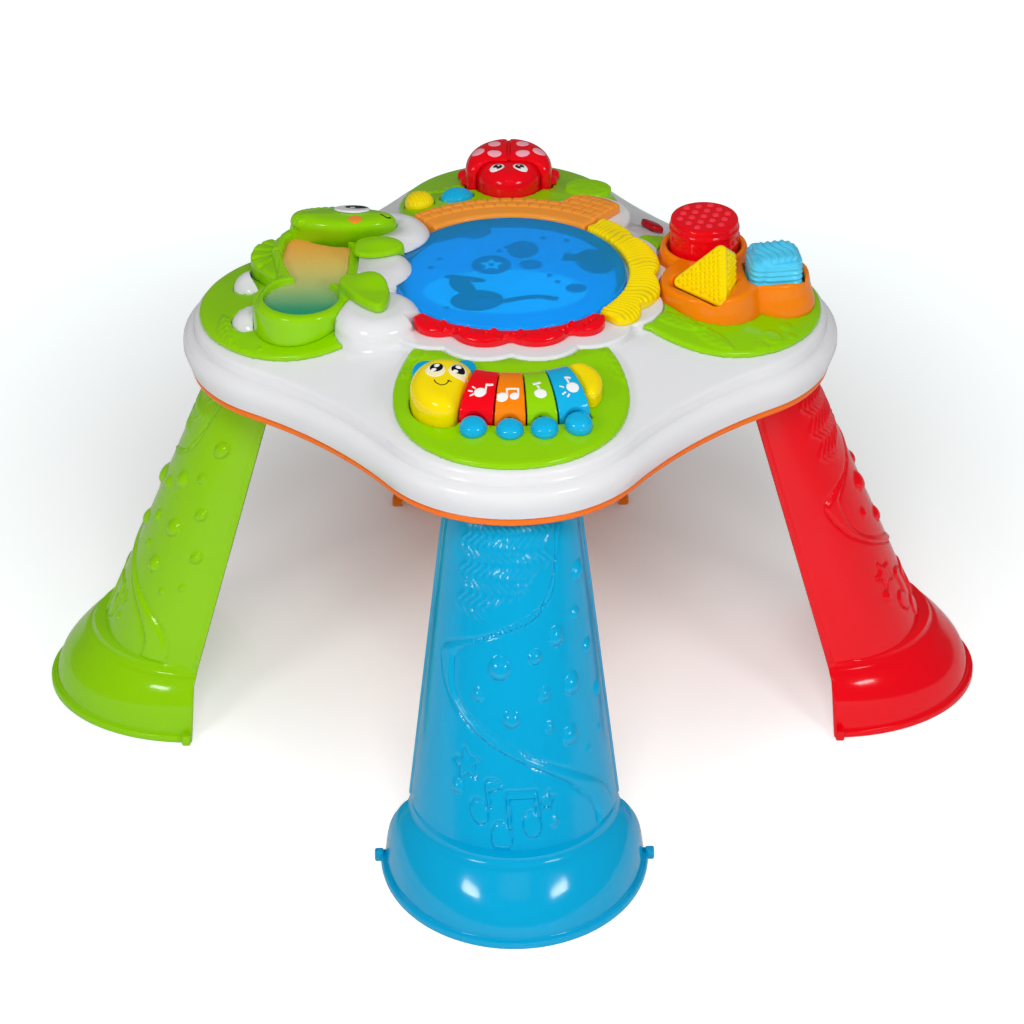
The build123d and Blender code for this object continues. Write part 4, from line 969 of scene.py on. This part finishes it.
def dome(radius: float, height: float) -> Body:
    """Round stud about its foot."""
    rows = [level(ellipse(0, 0, radius, radius, 0, 12), -STUD_SINK)]
    for turn in (0, 30, 58, 80):
        reach = radius * math.cos(math.radians(turn))
        rows.append(level(ellipse(0, 0, reach, reach, 0, 12), height * math.sin(math.radians(turn))))
    return Body(rows)


def pyramid(half: float, height: float) -> Body:
    """Square pyramid with a slightly blunt tip, about its foot."""
    square = np.array([(half, half), (-half, half), (-half, -half), (half, -half)])
    return Body([level(square, -STUD_SINK), level(square, 0), level(square * 0.12, height)])


def facing(node: str, toward: tuple) -> tuple[Array, Array]:
    """Centre in mm and normal of the flat CAD face that looks most nearly a given way."""
    aim = Vector(toward).normalized()
    groups: dict[tuple, list] = {}
    for face in FRAME["nodes"][node].data.polygons:
        if face.normal.dot(aim) > 0.6:
            groups.setdefault(tuple(round(c, 2) for c in face.normal), []).append(face)
    same = max(groups.values(), key=lambda faces: sum(f.area * f.normal.dot(aim) for f in faces))
    total = sum(f.area for f in same)
    centre = sum((f.center * f.area for f in same), Vector()) / total
    return np.array(centre) / MM, np.array(same[0].normal)


# ---------------------------------------------------------------- play stations
def domed(points: Array) -> Array:
    """Lowers the rim of a button's cap so that it becomes a dome."""
    low, high = points.min(axis=0), points.max(axis=0)
    share = np.linalg.norm((points[:, :2] - (low + high)[:2] / 2) / (high - low)[:2] * 2, axis=1)
    return offsets(
        points, z=-5.0 * np.clip(share, 0, 1.1) ** 2.4 * ramp(points[:, 2], high[2] - 14, high[2] - 9)
    )


class Plates:
    """Green lobe plates with low leaves, discs and bubbles moulded into them.

    LEAVES gives x, y, half length, half width and turn of each leaf, DISCS the x, y and radius of soft
    discs, and BUBBLES a height as a share of the radius, before the x, y and radius of each.
    """

    GRAIN, PASSES = 1.35, 7
    LEAVES = {
        "front": ((-71, -122, 16, 9, 52), (76, -124, 18, 9, 118)),
        "right": ((124, -60, 26, 8, -12), (150, -72, 20, 8, -30)),
        "left": ((-214, -40, 22, 7, 100),),
        "back": ((63, 166, 15, 9, -15), (-52, 172, 16, 6, 24)),
    }
    DISCS = {"right": ((196, -60, 7), (207, -44, 4), (188, -74, 4.5), (200, -78, 2.6), (212, -56, 2.4))}
    BUBBLES = {
        "left": (0.4, (-203, -72, 5), (-196, -80, 3.4), (-208, -62, 2.2), (-188, -72, 2.6)),
        "back": (0.5, (54, 160, 2.4), (60, 172, 2.4), (68, 160, 2.4), (72, 168, 2.4), (49, 168, 2.4)),
    }

    def leaf(self, x: Array, y: Array, long: float, wide: float, turn: float) -> Array:
        """Low leaf with a midrib and side veins, at distances from its middle."""
        c, s = polar(1.0, turn)
        u, v = x * c + y * s, np.abs(y * c - x * s)
        inside = 1 - (np.abs(u) / long) ** 2 - v / wide
        veins = ridge(v, 2.2, 0.7) + ridge((v + u) % 7 - 3.5, 2.4, 0.45)
        return 0.9 * np.clip(inside * 5, 0, 1) + veins * np.clip(inside * 6, 0, 1)

    def relief(self, side: str) -> Relief:
        """Ornament of the plate on one side."""

        def ornament(x: Array, y: Array, z: Array, up: Array) -> Array:
            rise = sum(self.leaf(x - px, y - py, *leaf) for px, py, *leaf in self.LEAVES[side])
            for px, py, radius in self.DISCS.get(side, ()):
                rise = np.maximum(rise, ridge(np.hypot(x - px, y - py) - radius, 2.2, 0.9))
            share, *bubbles = self.BUBBLES.get(side, (0.0,))
            for px, py, radius in bubbles:
                rise = np.maximum(rise, share * radius * ball(np.hypot(x - px, y - py), radius))
            return rise * upward(up, 3, 2)

        return ornament

    def flattened(self, points: Array) -> Array:
        """Lowers whatever stands high over a plate to a gentle swelling."""
        z = points[:, 2]
        return offsets(points, z=-0.7 * np.clip(z - np.percentile(z, 70) - 0.8, 0, None))

    def build(self) -> None:
        """Builds the four plates."""
        for side in self.LEAVES:
            move = self.flattened if side == "back" else None
            moulded(f"plate_{side}", Finish.LIME, self.GRAIN, self.PASSES, self.relief(side), move)


class Drum:
    """Tinted lens over a printed sea, with three textured petals round it."""

    def red(self, x: Array, y: Array, z: Array, up: Array) -> Array:
        """Bubbles of several sizes in the band, and a smooth swollen lip outside."""
        reach, turn, up = np.hypot(x, y), np.arctan2(y, x), upward(up, 1.4, 0.3)
        rise = np.zeros(len(x))
        for index in range(30):
            size = 1.7 + 1.2 * ((index * 7) % 5) / 4
            px, py = polar(94.4 + 6.0 * ((index * 3) % 4) / 3, -134 + 88 * index / 29)
            rise = np.maximum(rise, 0.95 * size * ball(np.hypot(x - px, y - py), size))
        scallop = 101.2 + 1.6 * np.cos(np.radians((np.degrees(turn) + 90) * 12.4))
        lip = np.clip((reach - scallop) / 1.2, 0, 1)
        return up * (rise * (1 - lip) + 1.8 * lip - ridge(reach - scallop, 2.4, 0.9))

    def yellow(self, x: Array, y: Array, z: Array, up: Array) -> Array:
        """Fine wavy combing that fans out over each scallop."""
        reach, turn, up = np.hypot(x, y), np.arctan2(y, x), upward(up, 1.4, 0.3)
        lane = turn * 104 + 1.6 * np.sin(reach / 4.5) + 3.0 * np.cos(turn * 14)
        return up * (
            0.7 * np.cos(TAU * lane / 4.6)
            + 0.8 * np.cos(turn * 14.2) * np.clip((reach - 96) / 12, 0, 1)
        )

    def orange(self, x: Array, y: Array, z: Array, up: Array) -> Array:
        """Smooth inner band and two courses of brick outlines outside it."""
        band, tall, wide = 103.5, 7.2, 4.8
        reach, turn, up = np.hypot(x, y), np.arctan2(y, x), upward(up, 1.4, 0.3)
        course = (reach - band) / tall
        lane = (np.degrees(turn) + np.floor(course) * 2.4) / wide
        side = np.abs(lane - np.round(lane)) * wide * math.pi / 180 * 108
        gap = np.abs(course - np.round(course)) * tall
        brick = np.clip(np.minimum(side, gap) / 0.9, 0, 1)
        return up * np.clip((reach - band) / 0.8, 0, 1) * (1.5 * brick - 0.3)

    def crown(self, points: Array) -> Array:
        """Rounds a petal down towards its outer edge."""
        reach, z = np.hypot(points[:, 0], points[:, 1]), points[:, 2]
        edge = np.percentile(reach, 98)
        return offsets(points, z=-3.0 * ramp(reach, edge - 13, edge) ** 2 * ramp(z, z.min(), z.min() + 4))

    def sea(self) -> None:
        """Printed disc with fish, an urchin, a whale and weed in deeper blue, under a painted pale glow over
        its front.
        """
        deep, mid, pale = Finish.SEA_DARK, Finish.SEA_MID, Finish.SEA_PALE
        fish_tail = np.array([(-36, 70), (-56, 60), (-58, 68), (-40, 80)])
        whale_tail = np.array([(58, 38), (54, 28), (40, 30), (42, 42)])
        spines = [polar(12.2, angle) for angle in range(0, 360, 40)]
        bubbles = (
            (-60, 20), (-54, 34), (-8, 46), (-2, 52), (30, 6), (36, -4), (44, 62), (26, 66), (-48, -44),
        )
        figures = (
            # Painted light: a wide pale glowing oval brightens the front of the sea under the lens.
            (pale, ellipse(-4, -18, 62, 34, 0, 64), 1, 10),
            (mid, ellipse(-27, 77.5, 13, 11, 12), 2), (mid, fish_tail, 2),
            (mid, ellipse(-14, 24, 15, 15), 2), (pale, star(-14, 24, 9, 0, 0.55), 3),
            (deep, ellipse(-14, 24, 2.2, 2.2), 4, 4),
            *((deep, ellipse(-14 + x, 24 + y, 0.9, 0.9, 0, 16), 3, 3) for x, y in spines),
            (mid, ellipse(10, 48, 12, 14), 2), (mid, ellipse(16, 24, 9, 7), 3),
            (deep, ellipse(66, 28, 15, 20, 20), 2), (deep, whale_tail, 2),
            (mid, ellipse(63, 36, 3.2, 3.2), 3, 4),
            (deep, ellipse(-25, -32, 20, 16, 8), 2), (deep, ellipse(-36, -10, 8, 15, 30), 3),
            (deep, ellipse(-34, 2, 16, 4.2, -14), 4), (mid, ellipse(-20, -36, 8, 6), 4),
            (mid, ellipse(50, -14, 8, 7), 2),
            *((mid, ellipse(x, y, 2.2, 2.2, 0, 20), 5, 3) for x, y in bubbles),
        )
        # The disc and its pale and mid figures glow with painted light.
        clear = softened(
            "sea_disc", Finish.SEA, 1.6, 1, None, lambda p: p * (-0.008, -0.008, 0.0) + (0.0, 0.0, 0.3)
        )
        sheet = Print(clear, 0.12)
        for figure in figures:
            sheet.patch(*figure)
        sheet.line(deep, [(-6, -34), (8, -29), (22, -27), (36, -31)], 6.0, 3)
        sheet.fix("sea_disc", "sea_figures")

    def build(self) -> None:
        """Builds drum and petals."""
        self.sea()
        petals = ((Finish.RED, self.red), (Finish.YELLOW, self.yellow), (Finish.AMBER, self.orange))
        for finish, relief in petals:
            moulded(f"petal_{relief.__name__}", finish, 0.7, 20, relief, self.crown)


class Piano:
    """Inchworm whose body is four keys, each printed with a note.

    KEYS gives for each key its colour, its printed patches, and its lines as a share of INK and the points
    they run through. EYES, PUPILS and SMILE give the face.
    """

    GRAIN, INK = 0.72, 1.5
    KEYS = {
        "red": (
            Finish.RED,
            ((-22.7, -177.2, 4.6, 3.7, 10),),
            (1.0, (-18.9, -176.4), (-18.0, -170.4)), (1.6, (-18.4, -170.0), (-15.8, -170.6), (-13.2, -170.2)),
            (0.8, (-28.4, -171.8), (-26.0, -174.0)), (0.8, (-31.3, -175.4), (-28.0, -176.2)),
            (0.8, (-30.2, -179.6), (-27.4, -178.4)),
        ),
        "orange": (
            Finish.ORANGE,
            ((-6.8, -181.7, 4.5, 3.5, 10), (2.2, -181.1, 3.4, 2.8, 10)),
            (1.0, (-3.1, -181.0), (-3.2, -175.2)), (1.0, (5.1, -180.6), (4.9, -175.4)),
            (1.4, (-4.0, -174.9), (1.0, -174.6), (5.7, -174.9)),
        ),
        "green": (
            Finish.LIME,
            ((21.1, -178.8, 4.6, 3.7, -6),),
            (1.0, (21.1, -176.0), (18.8, -171.8)), (1.7, (15.6, -170.2), (18.4, -169.4), (21.2, -168.2)),
        ),
        "blue": (
            Finish.PALE_BLUE,
            ((44.4, -172.6, 4.7, 4.2, -20),),
            (1.0, (42.2, -169.8), (40.0, -164.4)), (1.5, (38.4, -163.4), (40.6, -162.8), (43.2, -164.0)),
            (0.8, (34.9, -172.0), (38.2, -173.2)), (0.8, (36.8, -179.0), (39.4, -176.9)),
            (0.8, (40.6, -180.6), (42.0, -178.2)),
        ),
    }
    EYES = ((-55.2, -157.9, 7.6, 7.4, 12), (-38.2, -158.2, 7.6, 7.4, -6))
    PUPILS = ((-54.4, -155.2, 32), (-38.6, -156.6, 8))
    SMILE = (
        (0.8, (-56.0, -168.6), (-54.6, -171.7), (-50.9, -174.2), (-47.2, -172.9), (-44.9, -168.8)),
        (0.7, (-46.6, -169.2), (-45.0, -169.6), (-43.2, -170.6)),
    )

    def face(self, sheet: Print) -> None:
        """Pale eye patches, black pupils with two lights each, and a smile."""
        for eye in self.EYES:
            sheet.patch(Finish.CREAM_INK, ellipse(*eye))
        for x, y, turn in self.PUPILS:
            sheet.patch(Finish.INK, ellipse(x, y, 5.0, 4.4, turn), 2)
            sheet.patch(Finish.WHITE_INK, ellipse(x - 1.9, y - 2.5, 2.0, 1.5, turn), 3, 4)
            sheet.patch(Finish.WHITE_INK, ellipse(x + 0.3, y + 2.1, 2.2, 1.7, turn), 3, 4)
        for width, *path in self.SMILE:
            sheet.line(Finish.INK, path, width)

    def smaller_ear(self, points: Array) -> Array:
        """Draws in the right ear, which the head half hides."""
        right = points[:, 0] > -47
        centre = points[right].mean(axis=0)
        return np.where(right[:, None], (centre - points) * 0.24 + np.array((0.0, -2.0, -1.5)), 0.0)

    def build(self) -> None:
        """Builds the inchworm."""
        for colour, (finish, patches, *lines) in self.KEYS.items():
            sheet = Print(softened(f"key_{colour}", finish, self.GRAIN, 4))
            for patch in patches:
                sheet.patch(Finish.WHITE_INK, ellipse(*patch))
            for weight, *path in lines:
                sheet.line(Finish.WHITE_INK, path, self.INK * weight)
            sheet.fix(f"key_{colour}")
        sheet = Print(softened("inchworm_head", Finish.YELLOW, 0.85, 80))
        self.face(sheet)
        sheet.fix("inchworm_head")
        moulded("inchworm_tail", Finish.YELLOW, 0.6, 20)
        moulded("inchworm_ears", Finish.BLUE, 0.5, 16, None, self.smaller_ear)
        moulded("inchworm_feet", Finish.PALE_BLUE, 0.7, 7)


class Lizard:
    """Lizard with a graded panel down its chest.

    HEAD gives x, y and the half axes of the crest along its head, LIMBS x, y, half axes and swelling of its
    two limbs, and FIN the root of its fin.
    """

    HEAD = (-127, 60, 37.5, 20.0)
    LIMBS = ((-97.0, 22.0, 26.0, 17.0, 3.5), (-101.0, -29.0, 24.0, 22.0, 4.5))
    FIN = (-168, 34)

    def crest(self, x: Array, y: Array, z: Array, up: Array) -> Array:
        """Row of small bumps along the back left edge of the head."""
        px, py, rx, ry = self.HEAD
        rise = np.zeros(len(x))
        for angle in range(96, 212, 9):
            c, s = polar(1.0, angle)
            reach = np.hypot(x - px - rx * c, y - py - ry * s)
            rise = np.maximum(rise, 2.4 * np.clip(1 - (reach / 4.2) ** 2, 0, 1))
        return rise * ramp(z, z.max() - 14, z.max() - 10)

    def limbs(self, x: Array, y: Array, z: Array, up: Array) -> Array:
        """Rounds the tops of the two limbs and cuts the fin into fingers."""
        rise = np.zeros(len(x))
        for px, py, rx, ry, height in self.LIMBS:
            share = np.hypot((x - px) / rx, (y - py) / ry)
            rise = np.maximum(rise, height * np.cos(np.clip(share, 0, 1) * QUARTER) ** 2)
        across, along = x - self.FIN[0], y - self.FIN[1]
        turn = np.degrees(np.arctan2(along, -across))
        fin = np.clip((np.hypot(across, along) - 9) / 6, 0, 1) * (x < -176) * (z > 346)
        grooves = -2.4 * np.clip(1 - np.abs((turn + 60) % 26 - 13) / 4.5, 0, 1) * fin
        return upward(up, 2, 1) * rise + grooves * upward(up, 2)

    def stretch(self, points: Array) -> Array:
        """Draws the chest up to the chin, and the fin back with it."""
        x, y = points[:, 0], points[:, 1]
        chest = ramp(x, -184, -176) * ramp(-x, 112, 118) * ramp(y, 18, 52)
        fin = ramp(-x, 172, 180) * ramp(y, -4, 10)
        pad = ramp(x, -124, -116) * ramp(-y, 2, 12)
        return offsets(points, y=13 * np.maximum(chest, fin) - 5 * pad)

    def lowered(self, points: Array) -> Array:
        """Rounds the head down at its crown and in under its chin."""
        y, z = points[:, 1], points[:, 2]
        share = ramp(z, z.min(), z.max())
        under = 15 * (1 - share) * ramp(-y, -60, -40)
        return offsets(points, y=under, z=-5.0 * share - 0.22 * np.clip(y - 58, 0, None) * share)

    def tilted(self, points: Array) -> Array:
        """Leans the eye back with the crown."""
        return offsets(points, z=-4.8 - 0.22 * np.clip(points[:, 1] - 58, 0, None))

    def build(self) -> None:
        """Builds the lizard."""
        moulded("lizard_body", Finish.LIME, 1.0, 15, self.limbs, self.stretch)
        moulded("lizard_panel", Finish.PANEL, 1.0, 3, None, self.stretch)
        sheet = Print(softened("lizard_head", Finish.LIME, 0.85, 80, self.crest, self.lowered))
        sheet.patch(Finish.ORANGE_INK, ellipse(-118.3, 48.8, 5.2, 5.0, 0))
        sheet.line(Finish.INK, [(-99.0, 56.4), (-96.4, 54.2), (-93.6, 53.2), (-91.0, 55.2)], 1.0)
        sheet.fix("lizard_head")
        eye = Print(softened("lizard_eye", Finish.WHITE, 0.35, 14, None, self.tilted))
        eye.patch(Finish.INK, ellipse(-117.6, 68.4, 9.0, 4.4, -8))
        eye.patch(Finish.WHITE_INK, ellipse(-120.6, 67.2, 1.9, 1.2, -8), 2, 4)
        eye.fix("lizard_eye")


class ShapeBlocks:
    """Orange tray with a studded cylinder, a pyramid-faced prism and a ribbed cube.

    CYLINDER gives x, y, radius and height of the top, and CUBE x, y and turn of its block.
    """

    CYLINDER = (148.5, 41.0, 26.0, 387.0)
    CUBE = (201.0, -2.0, 20)
    STUD_PITCH, PYRAMID_PITCH = 9.4, 3.6

    def cylinder(self) -> None:
        """Cylinder with round studs on top, a ring under its edge and a row of pips."""
        px, py, radius, top = self.CYLINDER

        def ring(x: Array, y: Array, z: Array, up: Array) -> Array:
            side = np.clip((np.hypot(x - px, y - py) - radius + 2) / 1.5, 0, 1)
            return side * (ridge(z - top + 7.5, 4.0, 1.0) - ridge(z - top + 10.5, 3.0, 0.6))

        body = softened("block_cylinder", Finish.RED, 0.75, 6, ring)
        skin, studs, pips, leans = skin_of(body), [], [], []
        for row in range(-3, 4):
            for step in range(-3, 4):
                u, v = (step + 0.5 * (row % 2)) * self.STUD_PITCH, row * self.STUD_PITCH * 0.866
                if math.hypot(u, v) < radius - 3.5:
                    x, y = px + (u * 0.978 - v * 0.208), py + (u * 0.208 + v * 0.978)
                    hit = skin.ray_cast(Vector((x * MM, y * MM, 0.45)), Vector((0, 0, -1)))[0]
                    studs.append((x, y, hit.z / MM))
        for angle in range(0, 360, 18):
            c, s = polar(1.0, angle)
            start = Vector(((px + 40 * c) * MM, (py + 40 * s) * MM, (top - 15) * MM))
            hit = skin.ray_cast(start, Vector((-c, -s, 0)))[0]
            if hit is not None:
                pips.append(tuple(np.array(hit) / MM))
                leans.append((c, s, 0))
        # Top studs get the paler red as painted light where their domes catch the lamps; the side pips keep
        # the plain red.
        studs = StudField(dome(2.9, 1.6), Finish.RED_PALE).set_out(studs, [(0, 0, 1)] * len(studs))
        pips = StudField(dome(1.9, 1.0), Finish.RED).set_out(pips, leans)
        seat(joined(body.name, [body, studs, pips]), "block_cylinder")

    def prism(self) -> None:
        """Triangular prism with rows of pyramid studs on its upper faces."""
        half, deepest, flattest = 2.6, 7.4, 0.93
        body = softened("block_prism", Finish.YELLOW, 0.75, 5)
        skin, parts = skin_of(body), [body]
        for toward in ((0.1, -0.6, 0.75), (0.85, 0.2, 0.5)):
            centre, normal = facing("block_prism", toward)
            across = np.cross(normal, (0.35, 1.0, 0.0))
            across /= np.linalg.norm(across)
            along = np.cross(normal, across)
            places = []
            for row in range(-9, 10):
                for step in range(-9, 10):
                    spot = centre + across * row * self.PYRAMID_PITCH + along * step * self.PYRAMID_PITCH
                    feet = (across * half, -across * half, along * half, -along * half, np.zeros(3))
                    hits = [skin.ray_cast(Vector((spot + off + normal * 6) * MM), Vector(-normal))
                            for off in feet]
                    if all(far is not None and far * METRE < deepest and up.dot(Vector(normal)) > flattest
                           for _, up, _, far in hits):
                        places.append(np.array(hits[-1][0]) / MM)
            parts.append(StudField(pyramid(1.7, 1.5), Finish.YELLOW).set_out(places, [normal] * len(places)))
        seat(joined(body.name, parts), "block_prism")

    def cube(self) -> None:
        """Cube with wavy ribs over its top and level ribs round its sides."""
        px, py, angle = self.CUBE
        c, s = polar(1.0, angle)

        def ribs(x: Array, y: Array, z: Array, up: Array) -> Array:
            along, over = (x - px) * c + (y - py) * s, (y - py) * c - (x - px) * s
            flat = np.clip((up - 0.55) / 0.3, 0, 1)
            wavy = np.cos(TAU * (along + 2.2 * np.sin(over / 5.2)) / 6.0)
            return 0.6 * (flat * wavy + (1 - flat) * np.cos(TAU * z / 4.4))

        def swollen(points: Array) -> Array:
            off = points - np.array((px, py, points[:, 2].max() - 19.0))
            plain = np.abs(off @ np.array([[c, -s, 0], [s, c, 0], [0, 0, 1]])) * np.array((1.0, 1.0, 1.08))
            high = off[:, 2] > 0
            plain[:, 2] *= high
            swell = plain.max(axis=1) / (plain**5.5).sum(axis=1) ** (1 / 5.5) - 1
            return off * offsets(points, swell, swell, np.where(high, swell, 0))

        moulded("block_cube", Finish.SKY, 0.65, 36, ribs, swollen)

    def flare(self, points: Array) -> Array:
        """Carries the foot of the tray's wall out and down into its plate."""
        low = ramp(-points[:, 2], -352, -342)
        out = (points - np.array((172.0, 4.0, 0.0))) * 0.045
        return offsets(points, out[:, 0] * low, out[:, 1] * low, -4.0 * low)

    def build(self) -> None:
        """Builds tray and blocks."""
        moulded("shape_tray", Finish.ORANGE, 1.15, 21, None, self.flare)
        self.cylinder()
        self.prism()
        self.cube()


class Ladybird:
    """Ladybird that is pressed, with its feet, and the two buttons beside it.

    SPOTS and EYE are printed on the right side and mirrored on the left: ink, x, y, half axes, turn, layer,
    rings.
    """

    SPOTS = (
        (Finish.PINK_INK, 11.2, 194.4, 5.0, 4.6, 0, 1, 7),
        (Finish.PINK_INK, 24.2, 183.2, 5.2, 4.8, -30, 1, 7),
        (Finish.PINK_INK, 11.2, 179.4, 5.6, 3.6, 5, 1, 7),
    )
    EYE = (
        (Finish.WHITE_INK, 9.2, 164.2, 6.4, 4.6, -38, 1, 7),
        (Finish.INK, 8.7, 165.1, 3.7, 3.2, -38, 2, 7),
        (Finish.WHITE_INK, 10.8, 162.5, 1.5, 1.2, 0, 3, 4),
        (Finish.WHITE_INK, 8.1, 166.6, 1.0, 0.8, 0, 3, 4),
    )
    RIB = 2.6

    def cleft(self, x: Array, y: Array, z: Array, up: Array) -> Array:
        """Deep fold between the wing cases."""
        return -1.5 * np.clip((z - 352) / 8, 0, 1) * np.exp(-((x / 1.3) ** 2))

    def tucked(self, points: Array) -> Array:
        """Draws the legs in and back under the wing cases."""
        x, z = points[:, 0], points[:, 2]
        return offsets(points, -4 * np.sign(x), 8, -0.22 * (z - z.min()))

    def ribs(self, x: Array, y: Array, z: Array, up: Array) -> Array:
        """Fine slanting ribs on a button's cap."""
        return 0.35 * upward(up) * np.cos(TAU * (x + 0.5 * y) / self.RIB)

    def pips(self, x: Array, y: Array, z: Array, up: Array) -> Array:
        """Fine pips on a button's cap."""
        return 0.4 * upward(up) * (np.cos(TAU * x / self.RIB) * np.cos(TAU * y / self.RIB))

    def build(self) -> None:
        """Builds the ladybird and the buttons."""
        for node, grain, passes, relief, marks in (
            ("ladybird_wings", 0.8, 45, self.cleft, self.SPOTS),
            ("ladybird_head", 0.85, 30, None, self.EYE),
        ):
            sheet = Print(softened(node, Finish.RED, grain, passes, relief))
            for side in (-1, 1):
                for ink, x, y, rx, ry, turn, layer, rings in marks:
                    sheet.patch(ink, ellipse(side * x, y, rx, ry, side * turn), layer, rings)
            sheet.fix(node)
        moulded("ladybird_legs", Finish.RED, 0.5, 30, None, self.tucked)
        moulded("yellow_button", Finish.YELLOW, 0.4, 60, self.ribs, domed)
        moulded("blue_button", Finish.PALE_BLUE, 0.4, 60, self.pips, domed)
        moulded("power_switch", Finish.DARK_RED, 0.35, 6)


# ---------------------------------------------------------------- studio
@dataclass
class Studio:
    """Camera, lamps and floor.

    Attributes:
        elevation: Angle of the view below the horizon, in degrees.
        swing: Turn of the view about the vertical, in degrees.
        roll: Turn about the view's own axis, in degrees.
        distance: From the camera to its target, in mm.
        target: Height of the target above the floor, in mm.
        focal: Focal length for a 36 mm sensor.
        shift: Sideways shift of the frame.
    """

    elevation: float = 31.645
    swing: float = 0.1685
    roll: float = -0.3508
    distance: float = 3427.72
    target: float = 148.28
    focal: float = 153.623
    shift: float = 0.00056

    def camera(self) -> None:
        """Sets up the camera."""
        e, a, r = (math.radians(v) for v in (self.elevation, self.swing, self.roll))
        ahead = Vector((math.sin(a) * math.cos(e), math.cos(a) * math.cos(e), -math.sin(e)))
        right = Vector((math.cos(a), -math.sin(a), 0))
        up = right.cross(ahead)
        x = right * math.cos(r) + up * math.sin(r)
        y = up * math.cos(r) - right * math.sin(r)
        data = bpy.data.cameras.new("camera")
        data.lens, data.sensor_width, data.shift_x, data.clip_end = self.focal, 36.0, self.shift, 50.0
        camera = linked("camera", data)
        place = (Vector((0, 0, self.target)) - ahead * self.distance) * MM
        camera.matrix_world = Matrix.Translation(place) @ Matrix((x, y, -ahead)).transposed().to_4x4()
        bpy.context.scene.camera = camera

    def lamp(self, name: str, place: tuple, size: tuple, power: float, mirrored: bool = True) -> None:
        """Adds a softbox that faces the table.

        Args:
            name: The lamp's name.
            place: Where it stands, in metres.
            size: Width and height of the softbox in metres.
            power: Power in watts.
            mirrored: Whether the table's gloss shows it.
        """
        data = bpy.data.lights.new(name, "AREA")
        data.shape, data.size, data.size_y, data.energy = "RECTANGLE", *size, power
        lamp = linked(name, data)
        lamp.visible_glossy = mirrored
        aim_at = (Vector((0, 0, 0.25)) - Vector(place)).to_track_quat("-Z", "Y")
        lamp.matrix_world = Matrix.Translation(Vector(place)) @ aim_at.to_matrix().to_4x4()

    def sky(self, light: float) -> None:
        """Even white surroundings that show as plain white to the eye, and darker in the table's gloss."""
        world = bpy.data.worlds.new("white studio")
        bpy.context.scene.world = world
        world.use_nodes = True
        tree = world.node_tree
        tree.nodes.clear()
        ray = add(tree, "ShaderNodeLightPath").outputs
        either = {0: ray["Is Camera Ray"], 1: ray["Is Transmission Ray"]}
        seen = add(tree, "ShaderNodeMath", either, operation="MAXIMUM").outputs[0]
        gloss = {0: ray["Is Glossy Ray"], 1: -0.6 * light, 2: light}
        given = add(tree, "ShaderNodeMath", gloss, operation="MULTIPLY_ADD").outputs[0]
        strength = add(
            tree, "ShaderNodeMapRange", {"Value": seen, "To Min": given, "To Max": 1.0}
        ).outputs["Result"]
        back = add(tree, "ShaderNodeBackground", {"Color": (1, 1, 1, 1), "Strength": strength})
        add(tree, "ShaderNodeOutputWorld", {"Surface": back.outputs["Background"]})

    def floor(self, lift: float) -> None:
        """Matt white studio floor; a light of its own for the camera keeps it white round the shadow."""
        form = Body()
        form.loft([level(ellipse(0, 0, reach, reach, 0, 64), -0.4) for reach in (6000, 900)])
        floor = form.finish("studio_floor", Finish.WHITE)
        shading = Shading("white studio paper")
        tree = shading.tree
        off = add(tree, "ShaderNodeVectorMath", {0: shading.place, 1: (0, 0.3, 0)}, operation="SUBTRACT")
        reach = add(
            tree, "ShaderNodeVectorMath", {0: off.outputs["Vector"]}, operation="LENGTH"
        ).outputs["Value"]
        rise = {"Value": reach, "From Min": 0.12, "From Max": 1.0, "To Min": lift, "To Max": 1.1}
        fade = add(tree, "ShaderNodeMapRange", rise).outputs["Result"]
        camera = add(tree, "ShaderNodeLightPath").outputs["Is Camera Ray"]
        seen = add(tree, "ShaderNodeMath", {0: camera, 1: fade}, operation="MULTIPLY").outputs[0]
        paper = add(tree, "ShaderNodeBsdfDiffuse", {"Color": (0.92, 0.92, 0.92, 1)}).outputs[0]
        # The glow is short of red: painted light that cancels the red light the legs throw onto the floor.
        glow = add(tree, "ShaderNodeEmission", {"Color": (0.9, 1, 1, 1), "Strength": seen}).outputs[0]
        floor.data.materials[0] = shading.finished(
            add(tree, "ShaderNodeAddShader", {0: paper, 1: glow}).outputs[0]
        )

    def build(self) -> None:
        """Builds the studio."""
        bpy.context.scene.view_settings.view_transform = "Standard"
        self.camera()
        self.sky(0.32)
        self.floor(0.06)
        self.lamp("key softbox", (0, -1.75, 2.1), (1.0, 1.0), 24.0, mirrored=False)
        self.lamp("left softbox", (-1.35, -1.6, 1.45), (0.55, 0.26), 10.0)
        self.lamp("right softbox", (1.35, -1.6, 1.45), (0.55, 0.26), 10.0)


def main() -> None:
    """Builds every part of the table, then the studio."""
    logging.basicConfig(level=logging.INFO, format="%(message)s")
    for part in (
        Dressing(), Legs(), Plates(), Drum(), Piano(), Lizard(), ShapeBlocks(), Ladybird(), Studio(),
    ):
        part.build()


if __name__ == "__main__":
    main()
